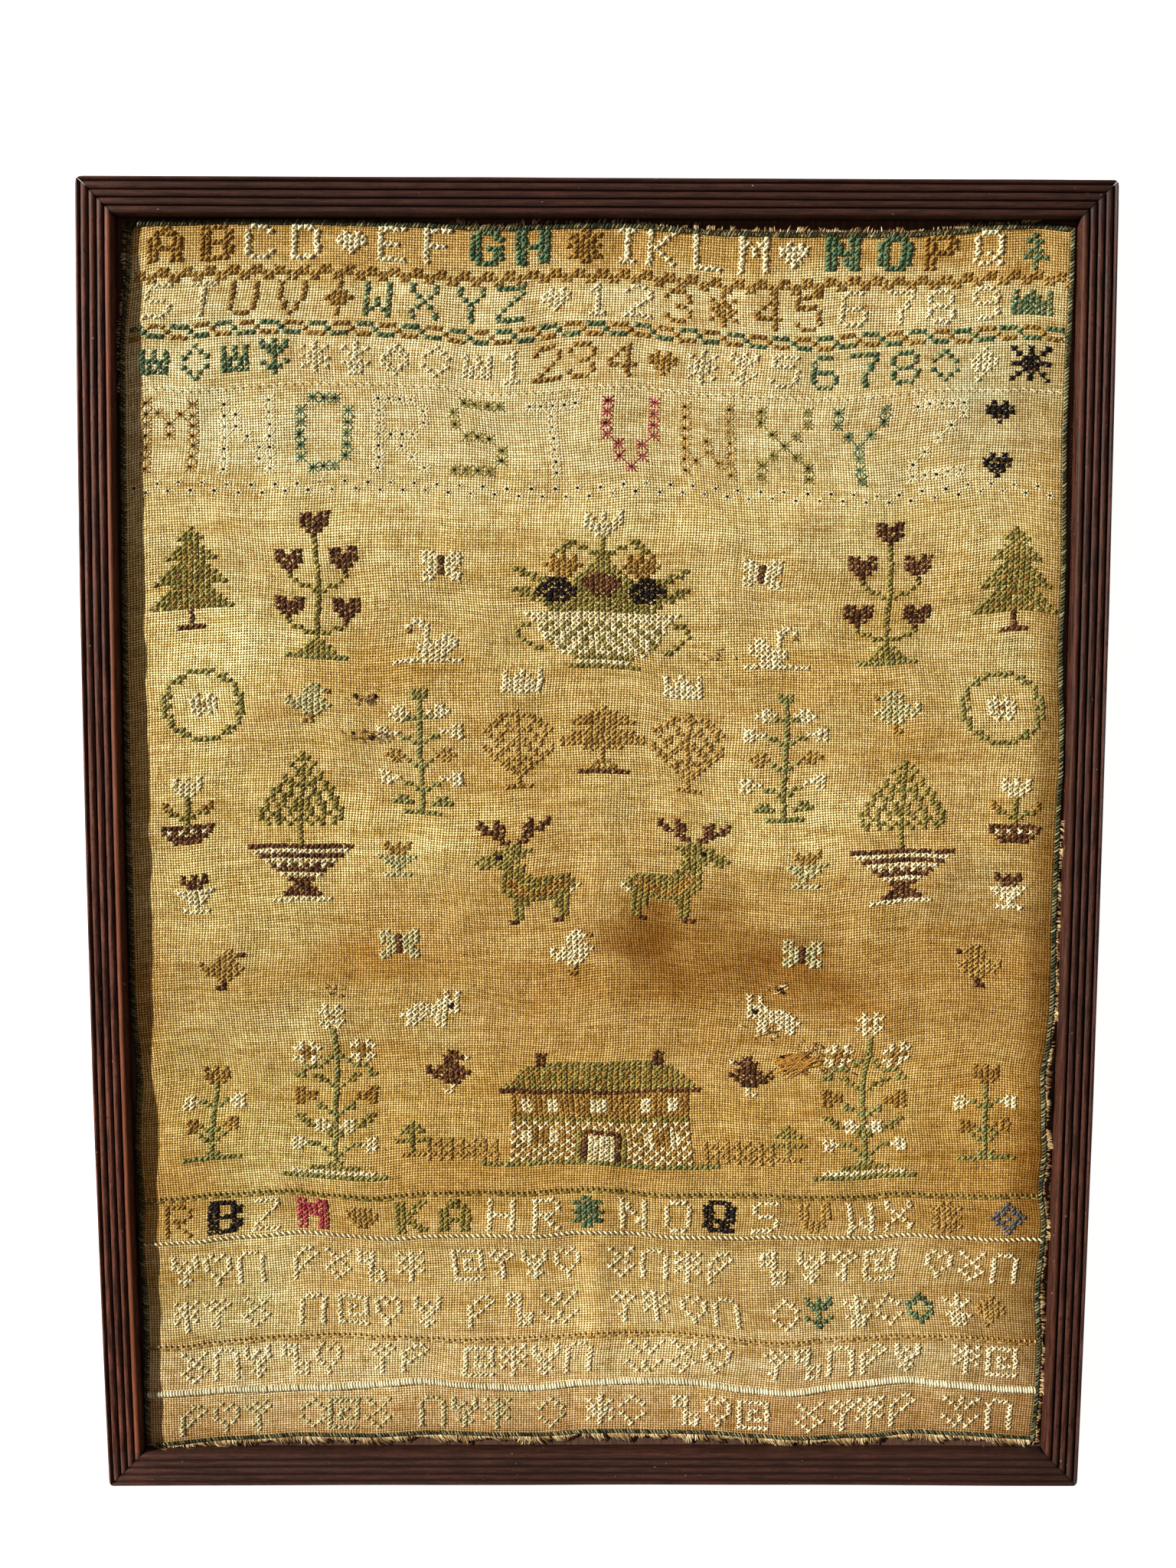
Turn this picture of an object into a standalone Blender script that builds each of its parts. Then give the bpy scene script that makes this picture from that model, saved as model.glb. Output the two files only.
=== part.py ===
"""A framed cross stitch sampler on its back: four reeded rails, a backing board, the linen, its frayed ends.

Metres, +Z up out of the picture, +Y towards the picture's top, +X to its right.
The frame's back stands on z = 0 and the origin is under the middle of its box.
"""
import math

import bmesh
import bpy

MM = 0.001

# Frame, measured over its corners; the side rails are sprung a little outward and the bottom rail inward.
FRAME_WIDTH = 331.5 * MM
FRAME_HEIGHT = 434.6 * MM
BOW = {"left": 2.3 * MM, "right": 1.4 * MM, "top": 0.0, "bottom": -0.5 * MM}
BOW_STEPS = 8
CORNER_RADIUS = 2.6 * MM
CORNER_TURNS = (45, 62, 90)           # degrees round each worn corner, from its mitre
JOINT_GAP = 0.3 * MM

# Moulding: five reeds on a plain rail with a rebate behind.
RAIL_DEPTH = 16 * MM
REED_COUNT = 5
REED_PITCH = 2.54 * MM
REED_RISE = 0.95 * MM
GROOVE_WIDTH = 0.3 * MM
REED_TURNS = (150, 115, 65, 30)       # degrees round each reed's half circle
FIRST_GROOVE = 1.69 * MM
RAIL_FACE = FIRST_GROOVE + (REED_COUNT - 1) * REED_PITCH
OUTER_EDGE_DROP = 1.7 * MM            # the outermost reed rolls over into the outer wall
OUTER_TURNS = (35, 75)
INNER_LIP = 0.1 * MM
REBATE_WIDTH = 6 * MM
LEDGE_HEIGHT = 10.3 * MM

# Board and cloth, one on the other under the rebate's ledge.
FIT_GAP = 0.3 * MM
BOARD_THICKNESS = 4 * MM
BOARD_TOP = LEDGE_HEIGHT - FIT_GAP
CLOTH_THICKNESS = 1.0 * MM
CLOTH_COLUMNS = 22
CLOTH_ROWS = 30

# Frayed ends: a narrow strip beside the cloth's edge with the threads standing out of it.
STRIP_WIDTH = 0.4 * MM
FRAY_THICKNESS = 0.6 * MM
STRAND_PITCH = 2.6 * MM
STRAND_WIDTH = 1.2 * MM
STRAND_TAPER = 0.55
SHORTEST_STRAND = 0.5 * MM

# Room between the rail's inner wall and the cloth's edge, in mm, at places in mm from each side's middle.
EDGE_COLUMNS = ("along", "room")
CLOTH_EDGE = {
    "left": ((-205, 0.4), (-185, 0.4), (-168, 1.3), (-152, 1.5), (-135, 0.6), (-119, 1.4), (-102, 0.5),
             (-91, 0.9), (-76, 2.2), (-67, 1.7), (-58, 0.8), (-50, 0.4), (60, 0.4), (95, 0.5), (120, 0.7),
             (165, 0.8), (175, 1.6), (190, 3.0), (205, 3.6)),
    "right": ((-205, 2.3), (-185, 1.3), (-168, 1.2), (-152, 2.6), (-139, 1.8), (-127, 1.1), (-115, 2.7),
              (-101, 1.8), (-91, 2.6), (-75, 3.6), (-63, 1.8), (-50, 0.9), (-20, 1.2), (9, 1.0), (27, 0.4),
              (44, 0.4), (55, 1.2), (70, 1.6), (96, 1.2), (144, 1.9), (177, 0.9), (193, 0.5), (205, 0.5)),
    "top": ((-155, 3.2), (-146, 1.0), (-119, 0.4), (-89, 0.4), (-59, 1.1), (-34, 2.2), (-11, 1.4), (11, 1.2),
            (26, 2.6), (41, 3.7), (60, 4.0), (98, 3.8), (112, 2.9), (129, 1.1), (141, 0.5), (155, 1.9)),
    "bottom": ((-155, 0.5), (-148, 0.5), (-124, 2.2), (-100, 3.4), (-76, 2.8), (-57, 3.8), (-41, 3.5),
               (-20, 3.1), (0, 4.6), (16, 4.3), (40, 3.9), (54, 2.6), (70, 1.8), (90, 2.7), (110, 4.5),
               (126, 3.8), (147, 2.6), (155, 2.0)),
}

# Soft folds of the cloth, in mm and degrees: middle, turn from +X, half length, half width, rise.
FOLD_COLUMNS = ("x", "y", "turn", "reach", "spread", "rise")
FOLDS = (
    (1, -165, 90, 45, 5, 0.9),      # old centre crease, low down
    (2, -55, 90, 70, 9, 0.5),       # the same crease, pressed flatter
    (0, 120, 90, 80, 12, 0.3),
    (-20, -112, 2, 130, 7, 0.5),    # puckers along the stitched lines
    (10, 150, -1, 140, 8, 0.5),
    (-60, -130, 0, 100, 6, 0.4),
    (70, -172, 1, 90, 6, 0.6),
    (58, 200, 0, 55, 9, 0.8),       # the top edge pulled down
    (-150, -72, 35, 22, 6, 0.8),    # notches in the side hems
    (148, -80, -30, 24, 7, 0.9),
    (-128, 178, -50, 30, 8, 0.7),   # drawn top left corner
    (85, -15, 20, 60, 14, 0.5),
    (-80, 30, -15, 70, 16, 0.4),
    (-148, -180, 90, 60, 14, 0.8),  # left edge a little higher low down and at the top
    (-148, 165, 90, 40, 12, 0.3),
)

# Frayed stretches: side, first and last place along it in mm, and the longest strand in mm.
FRAY_COLUMNS = ("side", "start", "end", "longest")
FRAYED = (
    ("bottom", -132, 152, 3.6),
    ("right", -202, -60, 2.9),
    ("top", -48, 130, 3.0),
    ("left", 176, 201, 2.2),
)

# Material: colour, roughness.
WOOD = ("reeded_mahogany", (0.115, 0.030, 0.018), 0.42)
BOARD = ("plain_board", (0.085, 0.045, 0.022), 0.80)
LINEN = ("aged_linen", (0.560, 0.400, 0.200), 0.92)
FRAY = ("frayed_linen", (0.600, 0.450, 0.240), 0.95)


def clear_scene():
    for obj in list(bpy.data.objects):
        bpy.data.objects.remove(obj, do_unlink=True)


def material(finish):
    """One plain material, made once and shared."""
    name, color, roughness = finish
    found = bpy.data.materials.get(name)
    if found:
        return found
    made = bpy.data.materials.new(name)
    made.use_nodes = True
    shader = made.node_tree.nodes["Principled BSDF"]
    shader.inputs["Base Color"].default_value = (*color, 1.0)
    shader.inputs["Roughness"].default_value = roughness
    shader.inputs["Metallic"].default_value = 0.0
    return made


def box_shift():
    """Moves the bowed frame so that the middle of its box is over the origin."""
    return (
        (max(BOW["left"], 0) - max(BOW["right"], 0)) / 2,
        (max(BOW["bottom"], 0) - max(BOW["top"], 0)) / 2,
        0.0,
    )


def place(name, points, faces, finish, smooth_angle=None):
    """Makes one closed object from points about the frame's middle, and sets it over the origin."""
    mesh = bpy.data.meshes.new(name)
    mesh.from_pydata(points, [], faces)
    mesh.validate()
    work = bmesh.new()
    work.from_mesh(mesh)
    bmesh.ops.recalc_face_normals(work, faces=work.faces)
    work.to_mesh(mesh)
    work.free()
    if smooth_angle is not None:
        mesh.shade_smooth()
        mesh.set_sharp_from_angle(angle=smooth_angle)
    mesh.materials.append(material(finish))
    obj = bpy.data.objects.new(name, mesh)
    obj.location = box_shift()
    bpy.context.scene.collection.objects.link(obj)
    return obj


def side_point(side, along, out):
    """Plan point at a place along a side and a distance out from the frame's middle line."""
    return {"left": (-out, along), "right": (out, along), "top": (along, out), "bottom": (along, -out)}[side]


def reed_profile():
    """Rail section as (inward, height): five reeds, then the inner wall, the ledge, the rebate and the back."""
    groove_height = RAIL_DEPTH - REED_RISE
    half = REED_PITCH / 2
    points = [(0.0, RAIL_DEPTH - OUTER_EDGE_DROP)]
    # A quarter round up from the outer wall, then the far flank of the outermost reed.
    for turn in OUTER_TURNS:
        angle = math.radians(turn)
        points.append((
            FIRST_GROOVE / 2 * (1 - math.cos(angle)),
            RAIL_DEPTH - OUTER_EDGE_DROP * (1 - math.sin(angle)),
        ))
    points.append((FIRST_GROOVE - GROOVE_WIDTH, RAIL_DEPTH - REED_RISE / 3))
    for reed in range(REED_COUNT - 1):
        groove = FIRST_GROOVE + reed * REED_PITCH
        points.append((groove, groove_height))
        for turn in REED_TURNS:
            angle = math.radians(turn)
            points.append((groove + half + (half - GROOVE_WIDTH / 2) * math.cos(angle),
                           groove_height + REED_RISE * math.sin(angle)))
    points += [
        (RAIL_FACE, groove_height - INNER_LIP),
        (RAIL_FACE, LEDGE_HEIGHT),
        (REBATE_WIDTH, LEDGE_HEIGHT),
        (REBATE_WIDTH, 0.0),
        (0.0, 0.0),
    ]
    return points


def rail_stations():
    """Places along a rail, each with whether it counts from the far end: corners, and even steps between."""
    corner = [("corner", math.radians(turn)) for turn in CORNER_TURNS]
    middle = [("share", step / BOW_STEPS) for step in range(1, BOW_STEPS)]
    return [(s, False) for s in corner + middle] + [(s, True) for s in reversed(corner)]


def bow_at(side, along, length):
    """How far the rail stands outward of the straight line between its corners: a parabola."""
    share = along / length
    return 4 * BOW[side] * share * (1 - share)


def rail_point(side, length, station, inward, from_end):
    """(along, inward) of one section point, with the outer corner rounded and the end mitred."""
    kind, value = station
    if kind == "corner":
        arc_along = CORNER_RADIUS * (1 - math.cos(value))
        arc_inset = CORNER_RADIUS * (1 - math.sin(value))
        inset = max(inward, arc_inset)
        mitre = inset * (1 - 4 * BOW[side] / length)
        along = mitre + (arc_along - arc_inset) + JOINT_GAP * math.sqrt(0.5)
    else:
        inset = inward
        along = inset + (length - 2 * inset) * value
    if from_end:
        along = length - along
    return along, inset - bow_at(side, along, length)


def build_rail(side):
    """Carries the reeded section along one side of the frame."""
    upright = side in ("left", "right")
    length, across = (FRAME_HEIGHT, FRAME_WIDTH) if upright else (FRAME_WIDTH, FRAME_HEIGHT)
    stations = rail_stations()
    profile = reed_profile()
    points = []
    for station, from_end in stations:
        for inward, height in profile:
            along, inset = rail_point(side, length, station, inward, from_end)
            points.append((*side_point(side, along - length / 2, across / 2 - inset), height))
    count = len(profile)
    faces = []
    for row in range(len(stations) - 1):
        for k in range(count):
            here, after = row * count + k, row * count + (k + 1) % count
            faces.append((here, after, after + count, here + count))
    last = (len(stations) - 1) * count
    faces.append(tuple(range(count)))
    faces.append(tuple(range(last, last + count)))
    return place(f"rail_{side}", points, faces, WOOD, smooth_angle=math.radians(40))


def read_table(rows, place_mm):
    """Straight-line reading of a two-column table."""
    if place_mm <= rows[0][0]:
        return rows[0][1]
    for (low, a), (high, b) in zip(rows, rows[1:]):
        if place_mm <= high:
            return a + (b - a) * (place_mm - low) / (high - low)
    return rows[-1][1]


def wall_at(side, along):
    """How far the rail's inner wall is from the frame's middle line."""
    span = FRAME_HEIGHT if side in ("left", "right") else FRAME_WIDTH
    out = FRAME_WIDTH if side in ("left", "right") else FRAME_HEIGHT
    return out / 2 - RAIL_FACE + bow_at(side, along + span / 2, span)


def edge_at(side, along):
    """How far the cloth's edge is from the frame's middle line."""
    return wall_at(side, along) - read_table(CLOTH_EDGE[side], along / MM) * MM


def fold_height(x, y):
    """Height of the folds over flat cloth: a sum of soft ridges that fall off along and across their lines."""
    total = 0.0
    for row in FOLDS:
        fold = dict(zip(FOLD_COLUMNS, row))
        turn = math.radians(fold["turn"])
        dx, dy = x / MM - fold["x"], y / MM - fold["y"]
        along = dx * math.cos(turn) + dy * math.sin(turn)
        across = -dx * math.sin(turn) + dy * math.cos(turn)
        total += fold["rise"] * math.exp(-((along / fold["reach"]) ** 2) - (across / fold["spread"]) ** 2)
    return total * MM


def slab(name, plan, faces, low, high, finish, smooth_angle=None):
    """Closes a flat mesh of plan points into a solid between two height functions."""
    count = len(plan)
    points = [(x, y, high(x, y)) for x, y in plan] + [(x, y, low(x, y)) for x, y in plan]
    used = {edge for face in faces for edge in zip(face, face[1:] + face[:1])}
    sides = [(b, a, a + count, b + count) for a, b in used if (b, a) not in used]
    under = [tuple(k + count for k in reversed(face)) for face in faces]
    return place(name, points, list(faces) + under + sides, finish, smooth_angle)


def build_board():
    """Plain board in the rebate, as wide as the narrowest place between the rebate's walls."""
    half_width = FRAME_WIDTH / 2 - REBATE_WIDTH - FIT_GAP
    half_height = FRAME_HEIGHT / 2 - REBATE_WIDTH - FIT_GAP + min(BOW["bottom"], 0.0)
    plan = [(-half_width, -half_height), (half_width, -half_height), (half_width, half_height),
            (-half_width, half_height)]
    return slab("backing_board", plan, [(0, 1, 2, 3)], lambda x, y: BOARD_TOP - BOARD_THICKNESS,
                lambda x, y: BOARD_TOP, BOARD)


def cloth_point(across, up):
    """Plan place of the cloth at two shares of its width and height, between its four uneven edges."""
    x_plain = -wall_at("left", 0) + (wall_at("left", 0) + wall_at("right", 0)) * across
    y_plain = -wall_at("bottom", 0) + (wall_at("bottom", 0) + wall_at("top", 0)) * up
    left, right = edge_at("left", y_plain), edge_at("right", y_plain)
    bottom, top = edge_at("bottom", x_plain), edge_at("top", x_plain)
    return -left + (left + right) * across, -bottom + (bottom + top) * up


def build_cloth():
    """One sheet of linen on a grid, lying on the board with its folds raised."""
    columns, rows = CLOTH_COLUMNS + 1, CLOTH_ROWS + 1
    plan = [cloth_point(i / CLOTH_COLUMNS, j / CLOTH_ROWS) for j in range(rows) for i in range(columns)]
    faces = []
    for j in range(CLOTH_ROWS):
        for i in range(CLOTH_COLUMNS):
            k = j * columns + i
            faces.append((k, k + 1, k + columns + 1, k + columns))
    rest = BOARD_TOP + FIT_GAP
    return slab("linen_ground", plan, faces, lambda x, y: rest + fold_height(x, y),
                lambda x, y: rest + fold_height(x, y) + CLOTH_THICKNESS, LINEN, smooth_angle=math.radians(50))


def strand_reach(step, longest):
    """Uneven strand lengths: a slow and a quick wave of the strand's number."""
    slow, quick = math.sin(step * 0.6), math.sin(step * 2.3)
    return longest * (0.72 + 0.18 * slow + 0.10 * quick)


def cloth_edge_on_grid(side, along):
    """The cloth's edge as its grid has it: straight between the grid's stations on that side."""
    upright = side in ("left", "right")
    low, high = ("bottom", "top") if upright else ("left", "right")
    count = CLOTH_ROWS if upright else CLOTH_COLUMNS
    nodes = []
    for k in range(count + 1):
        share = k / count
        corner = {"left": (0, share), "right": (1, share), "bottom": (share, 0), "top": (share, 1)}[side]
        x, y = cloth_point(*corner)
        nodes.append((y, abs(x)) if upright else (x, abs(y)))
    return read_table(nodes, along)


def build_frayed(side, start, end, longest):
    """A comb of threads on a strip that lies beside the cloth's edge; no strand reaches the rail."""
    count = int((end - start) * MM / STRAND_PITCH)
    step = (end - start) * MM / count
    plan, faces, row = [], [], []
    for k in range(count * 2 + 1):
        along = start * MM + (k // 2) * step + (k % 2) * STRAND_WIDTH
        near = cloth_edge_on_grid(side, along) + FIT_GAP
        row.append(along)
        plan.append(side_point(side, along, near))
        plan.append(side_point(side, along, near + STRIP_WIDTH))
        if k:
            faces.append((2 * k - 2, 2 * k, 2 * k + 1, 2 * k - 1))
    for k in range(count):
        first, second = 2 * k, 2 * k + 1
        middle = (row[first] + row[second]) / 2
        root = cloth_edge_on_grid(side, middle) + FIT_GAP + STRIP_WIDTH
        room = wall_at(side, middle) - FIT_GAP - root
        reach = min(strand_reach(k, longest * MM), room)
        if reach < SHORTEST_STRAND:
            continue
        tips = len(plan)
        for shift in (-0.5, 0.5):
            along = middle + shift * STRAND_WIDTH * STRAND_TAPER
            plan.append(side_point(side, along, root + reach))
        faces.append((2 * first + 1, 2 * second + 1, tips + 1, tips))
    if side in ("bottom", "left"):
        faces = [tuple(reversed(face)) for face in faces]
    low = BOARD_TOP + FIT_GAP
    return slab(f"frayed_{side}", plan, faces, lambda x, y: low, lambda x, y: low + FRAY_THICKNESS, FRAY)


def main():
    clear_scene()
    for side in ("top", "bottom", "left", "right"):
        build_rail(side)
    build_board()
    build_cloth()
    for row in FRAYED:
        stretch = dict(zip(FRAY_COLUMNS, row))
        build_frayed(**stretch)


main()
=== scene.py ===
# A framed cross stitch sampler, lying on its back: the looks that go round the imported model.
# Lengths are in mm until a mesh is made. +Y is the picture's top and +Z comes out of its face.
import math

import bpy
import numpy as np
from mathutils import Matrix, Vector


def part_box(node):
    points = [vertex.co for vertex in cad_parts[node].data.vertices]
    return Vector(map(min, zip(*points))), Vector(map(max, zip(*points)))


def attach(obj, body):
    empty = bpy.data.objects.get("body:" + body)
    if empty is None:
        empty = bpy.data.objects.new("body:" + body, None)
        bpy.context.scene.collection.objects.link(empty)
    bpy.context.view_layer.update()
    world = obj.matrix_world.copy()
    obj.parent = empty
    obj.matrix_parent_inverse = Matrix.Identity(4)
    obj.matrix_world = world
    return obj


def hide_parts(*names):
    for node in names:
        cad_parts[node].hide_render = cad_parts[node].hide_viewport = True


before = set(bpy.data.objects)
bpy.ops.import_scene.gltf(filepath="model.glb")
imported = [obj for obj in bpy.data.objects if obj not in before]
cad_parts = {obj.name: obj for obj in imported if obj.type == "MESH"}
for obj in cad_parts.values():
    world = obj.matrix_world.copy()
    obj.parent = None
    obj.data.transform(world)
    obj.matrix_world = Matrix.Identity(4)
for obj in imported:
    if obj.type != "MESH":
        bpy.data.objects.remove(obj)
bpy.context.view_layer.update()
mm = 0.001
full = 2 * math.pi

topRail = [np.array(corner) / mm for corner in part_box("rail_top")]
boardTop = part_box("backing_board")[1].z / mm
middle = np.array([(topRail[0][0] + topRail[1][0]) / 2, 0.0])  # the middle of the frame's four corners

moulding = {
    "width": 331.5,          # over the corners, before the side rails' bow
    "height": 434.6,
    "bow": {"left": 2.3, "right": 1.4, "top": 0.0, "bottom": -0.5},
    "corner": 2.6,
    "depth": 16.0,
    "reeds": 5,
    "pitch": 2.54,
    "rise": 0.95,
    "groove": 0.3,
    "firstGroove": 1.69,
    "edgeDrop": 1.7,
    "rebate": 6.0,
    "ledge": 10.3,
    "joint": 0.16,           # dark line left open at each mitre
    # worn: painted light as well as rubbing; how much lighter the inmost reed is painted on each side, for
    # light thrown back on it from the cloth
    "worn": {"left": 0.55, "right": 0.35, "top": 0.0, "bottom": 0.2},     # rubbing of the inmost reed
}
moulding["face"] = moulding["firstGroove"] + (moulding["reeds"] - 1) * moulding["pitch"]

cloth = {
    "warps": 330,            # upright threads, counted along u
    "wefts": 512,            # threads across, counted up along v
    "stitch": 2,             # a cross stitch covers two threads each way
    "rest": boardTop + 0.3,
    "top": 0.85,             # top of the cloth over that
    "thick": 0.45,
    "columns": 132,
    "rows": 204,
}

# room between the rail's inner wall and the cloth's edge, at places along each side from its middle
clothEdge = {
    "left": ((-205, 0.4), (-185, 0.4), (-168, 1.3), (-152, 1.5), (-135, 0.6), (-119, 1.4), (-102, 0.5),
             (-91, 0.9), (-76, 2.2), (-67, 1.7), (-58, 0.8), (-50, 0.4), (60, 0.4), (95, 0.5), (120, 0.7),
             (165, 0.8), (175, 1.6), (190, 3.0), (205, 3.6)),
    "right": ((-205, 2.3), (-185, 1.3), (-168, 1.2), (-152, 2.6), (-139, 1.8), (-127, 1.1), (-115, 2.7),
              (-101, 1.8), (-91, 2.6), (-75, 3.6), (-63, 1.8), (-50, 0.9), (-20, 1.2), (9, 1.0), (27, 0.4),
              (44, 0.4), (55, 1.2), (70, 1.6), (96, 1.2), (144, 1.9), (177, 0.9), (193, 0.5), (205, 0.5)),
    "top": ((-155, 3.2), (-146, 1.0), (-119, 0.4), (-89, 0.4), (-59, 1.1), (-34, 2.2), (-11, 1.4),
            (11, 1.2), (26, 2.6), (41, 3.7), (60, 4.0), (98, 3.8), (112, 2.9), (129, 1.1), (141, 0.5),
            (155, 1.9)),
    "bottom": ((-155, 0.5), (-148, 0.5), (-124, 2.2), (-100, 3.4), (-76, 2.8), (-57, 3.8), (-41, 3.5),
               (-20, 3.1), (0, 4.6), (16, 4.3), (40, 3.9), (54, 2.6), (70, 1.8), (90, 2.7), (110, 4.5),
               (126, 3.8), (147, 2.6), (155, 2.0)),
}

# soft folds: middle x and y, turn from +X, half length, half width, rise
folds = (
    (1, -165, 90, 45, 5, 0.9), (2, -55, 90, 70, 9, 0.5), (0, 120, 90, 80, 12, 0.3),
    (-20, -112, 2, 130, 7, 0.5), (10, 150, -1, 140, 8, 0.5), (-60, -130, 0, 100, 6, 0.4),
    (70, -172, 1, 90, 6, 0.6), (58, 200, 0, 55, 9, 0.8), (-150, -72, 35, 22, 6, 0.8),
    (148, -80, -30, 24, 7, 0.9), (-128, 178, -50, 30, 8, 0.7), (85, -15, 20, 60, 14, 0.5),
    (-80, 30, -15, 70, 16, 0.4), (-148, -180, 90, 60, 14, 0.8), (-148, 165, 90, 40, 12, 0.3),
)

# fine cockling of the old linen: wavelength along x and y, phase, height
cockles = (
    (27, 140, 0.3, 0.11), (-19, 70, 1.9, 0.06), (120, 17, 0.8, 0.1), (-60, 23, 2.6, 0.08),
    (11, 60, 4.1, 0.03), (36, -31, 5.0, 0.07),
)

# how the woven lines wander off straight: wavelength along x and y, phase, shift
wanders = {
    "x": ((300, 55, 0.4, 0.45), (90, 31, 2.2, 0.25), (47, 120, 4.0, 0.2)),
    "y": ((95, 170, 1.1, 0.75), (52, 90, 3.4, 0.35), (150, 41, 0.2, 0.3), (23, 60, 5.1, 0.12)),
}


def tone(red, green, blue):
    # a screen colour, 0 to 255, as the linear numbers that shaders use
    screen = np.array([red, green, blue]) / 255
    return tuple(np.where(screen <= 0.04045, screen / 12.92, ((screen + 0.055) / 1.055) ** 2.4))


class Wire:
    # one output socket of a node; arithmetic on it adds Math nodes
    def __init__(self, paint, socket):
        self.paint = paint
        self.socket = socket

    def slope(self, low=0.0, high=1.0, start=0.0, end=1.0):
        # runs smoothly from start to end as the value goes from low to high
        return self.paint.node("ShaderNodeMapRange", {"interpolation_type": "SMOOTHSTEP"},
                               {0: self, 1: low, 2: high, 3: start, 4: end})

    def parts(self):
        node = self.paint.node("ShaderNodeSeparateXYZ", {}, {0: self}).socket.node
        return [Wire(self.paint, socket) for socket in node.outputs]


def wireSum(operation, backward):
    # a method that adds one Math node
    def method(*values):
        wire = values[0]
        values = values[::-1] if backward else values
        return wire.paint.node("ShaderNodeMath", {"operation": operation}, dict(enumerate(values)))
    return method


# arithmetic on wires
for title, operation in {"__add__": "ADD", "__radd__": "ADD", "__sub__": "SUBTRACT", "__rsub__": "SUBTRACT",
                         "__mul__": "MULTIPLY", "__rmul__": "MULTIPLY", "__truediv__": "DIVIDE",
                         "most": "MAXIMUM", "floor": "FLOOR", "fraction": "FRACT", "cosine": "COSINE",
                         "root": "SQRT", "size": "ABSOLUTE"}.items():
    setattr(Wire, title, wireSum(operation, title == "__rsub__"))


class Paint:
    # one material, with its nodes made by one method
    def __init__(self, name, roughness, **fixed):
        self.material = bpy.data.materials.new(name)
        self.material.use_nodes = True
        self.tree = self.material.node_tree
        self.shader = self.tree.nodes["Principled BSDF"]
        self.shader.inputs["Roughness"].default_value = roughness
        for socket, value in fixed.items():
            self.shader.inputs[socket.replace("_", " ")].default_value = value

    def node(self, kind, settings, values, output=0):
        made = self.tree.nodes.new(kind)
        for name, value in settings.items():
            setattr(made, name, value)
        for key, value in values.items():
            if isinstance(value, Wire):
                self.tree.links.new(value.socket, made.inputs[key])
            elif isinstance(value, tuple) and len(value) == 3 and made.inputs[key].type == "RGBA":
                made.inputs[key].default_value = (*value, 1.0)
            else:
                made.inputs[key].default_value = value
        return Wire(self, made.outputs[output])

    def attribute(self, name, output="Vector"):
        return self.node("ShaderNodeAttribute", {"attribute_name": name}, {}, output)

    def place(self):
        return self.node("ShaderNodeTexCoord", {}, {}, "Object")

    def vector(self, x, y, z=0.0):
        return self.node("ShaderNodeCombineXYZ", {}, {0: x, 1: y, 2: z})

    def noise(self, where, scale=1.0, detail=2.0, output="Fac"):
        values = {"Vector": where, "Scale": scale, "Detail": detail}
        return self.node("ShaderNodeTexNoise", {}, values, output)

    def chance(self, where):
        # three even random numbers for each whole-numbered place
        return self.node("ShaderNodeTexWhiteNoise", {"noise_dimensions": "3D"}, {"Vector": where}, "Color")

    def blend(self, share, first, second, how="MIX"):
        return self.node("ShaderNodeMix", {"data_type": "RGBA", "blend_type": how},
                         {0: share, 6: first, 7: second}, 2)

    def tint(self, first, second):
        return self.blend(1.0, first, second, "MULTIPLY")

    def link(self, wire, socket="Base Color"):
        self.tree.links.new(wire.socket, self.shader.inputs[socket])

    def bump(self, height, distance, strength):
        values = {"Height": height, "Distance": distance, "Strength": strength}
        self.link(self.node("ShaderNodeBump", {}, values), "Normal")


def addObject(name, data):
    made = bpy.data.objects.new(name, data)
    bpy.context.scene.collection.objects.link(made)
    return made


fieldKinds = {1: ("FLOAT", "value"), 3: ("FLOAT_VECTOR", "vector"), 4: ("FLOAT_COLOR", "color")}


def makePiece(name, points, faces, finish, slot, **fields):
    # points in mm; faces is a list of index arrays, one for each number of corners;
    # each field holds one, three or four numbers a point
    mesh = bpy.data.meshes.new(name)
    corners = np.concatenate([f.ravel() for f in faces])
    sizes = np.concatenate([np.full(len(f), f.shape[1]) for f in faces])
    starts = np.concatenate([[0], np.cumsum(sizes)[:-1]])
    mesh.vertices.add(len(points))
    mesh.vertices.foreach_set("co", (np.asarray(points) * mm).astype(np.float32).ravel())
    mesh.loops.add(len(corners))
    mesh.loops.foreach_set("vertex_index", corners.astype(np.int32))
    mesh.polygons.add(len(sizes))
    mesh.polygons.foreach_set("loop_start", starts.astype(np.int32))
    mesh.polygons.foreach_set("use_smooth", np.ones(len(sizes), bool))
    mesh.update(calc_edges=True)
    for title, data in fields.items():
        data = np.asarray(data, np.float32).ravel()
        kind, field = fieldKinds[data.size // len(points)]
        mesh.attributes.new(title, kind, "POINT").data.foreach_set(field, data)
    mesh.materials.append(finish.material)
    piece = addObject(name, mesh)
    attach(piece, "root")
    return piece


def readTable(rows, along):
    # smooth reading of a two-column table: each stretch eases in and out
    at, value = np.array(rows, float).T
    k = np.clip(np.searchsorted(at, along) - 1, 0, len(at) - 2)
    share = np.clip((along - at[k]) / (at[k + 1] - at[k]), 0, 1)
    eased = 0.5 * share + 0.5 * share * share * (3 - 2 * share)
    return value[k] + (value[k + 1] - value[k]) * eased


def sideSize(side):
    upright = side in ("left", "right")
    return (moulding["height"], moulding["width"]) if upright else (moulding["width"], moulding["height"])


def bowAt(side, along):
    # a parabola between the corners, along measured from the side's middle
    length = sideSize(side)[0]
    share = np.asarray(along) / length + 0.5
    return 4 * moulding["bow"][side] * share * (1 - share)


def wallAt(side, along):
    return sideSize(side)[1] / 2 - moulding["face"] + bowAt(side, along)


def roomAt(side, along):
    return readTable(clothEdge[side], along)


def edgeAt(side, along):
    return wallAt(side, along) - roomAt(side, along)


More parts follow.
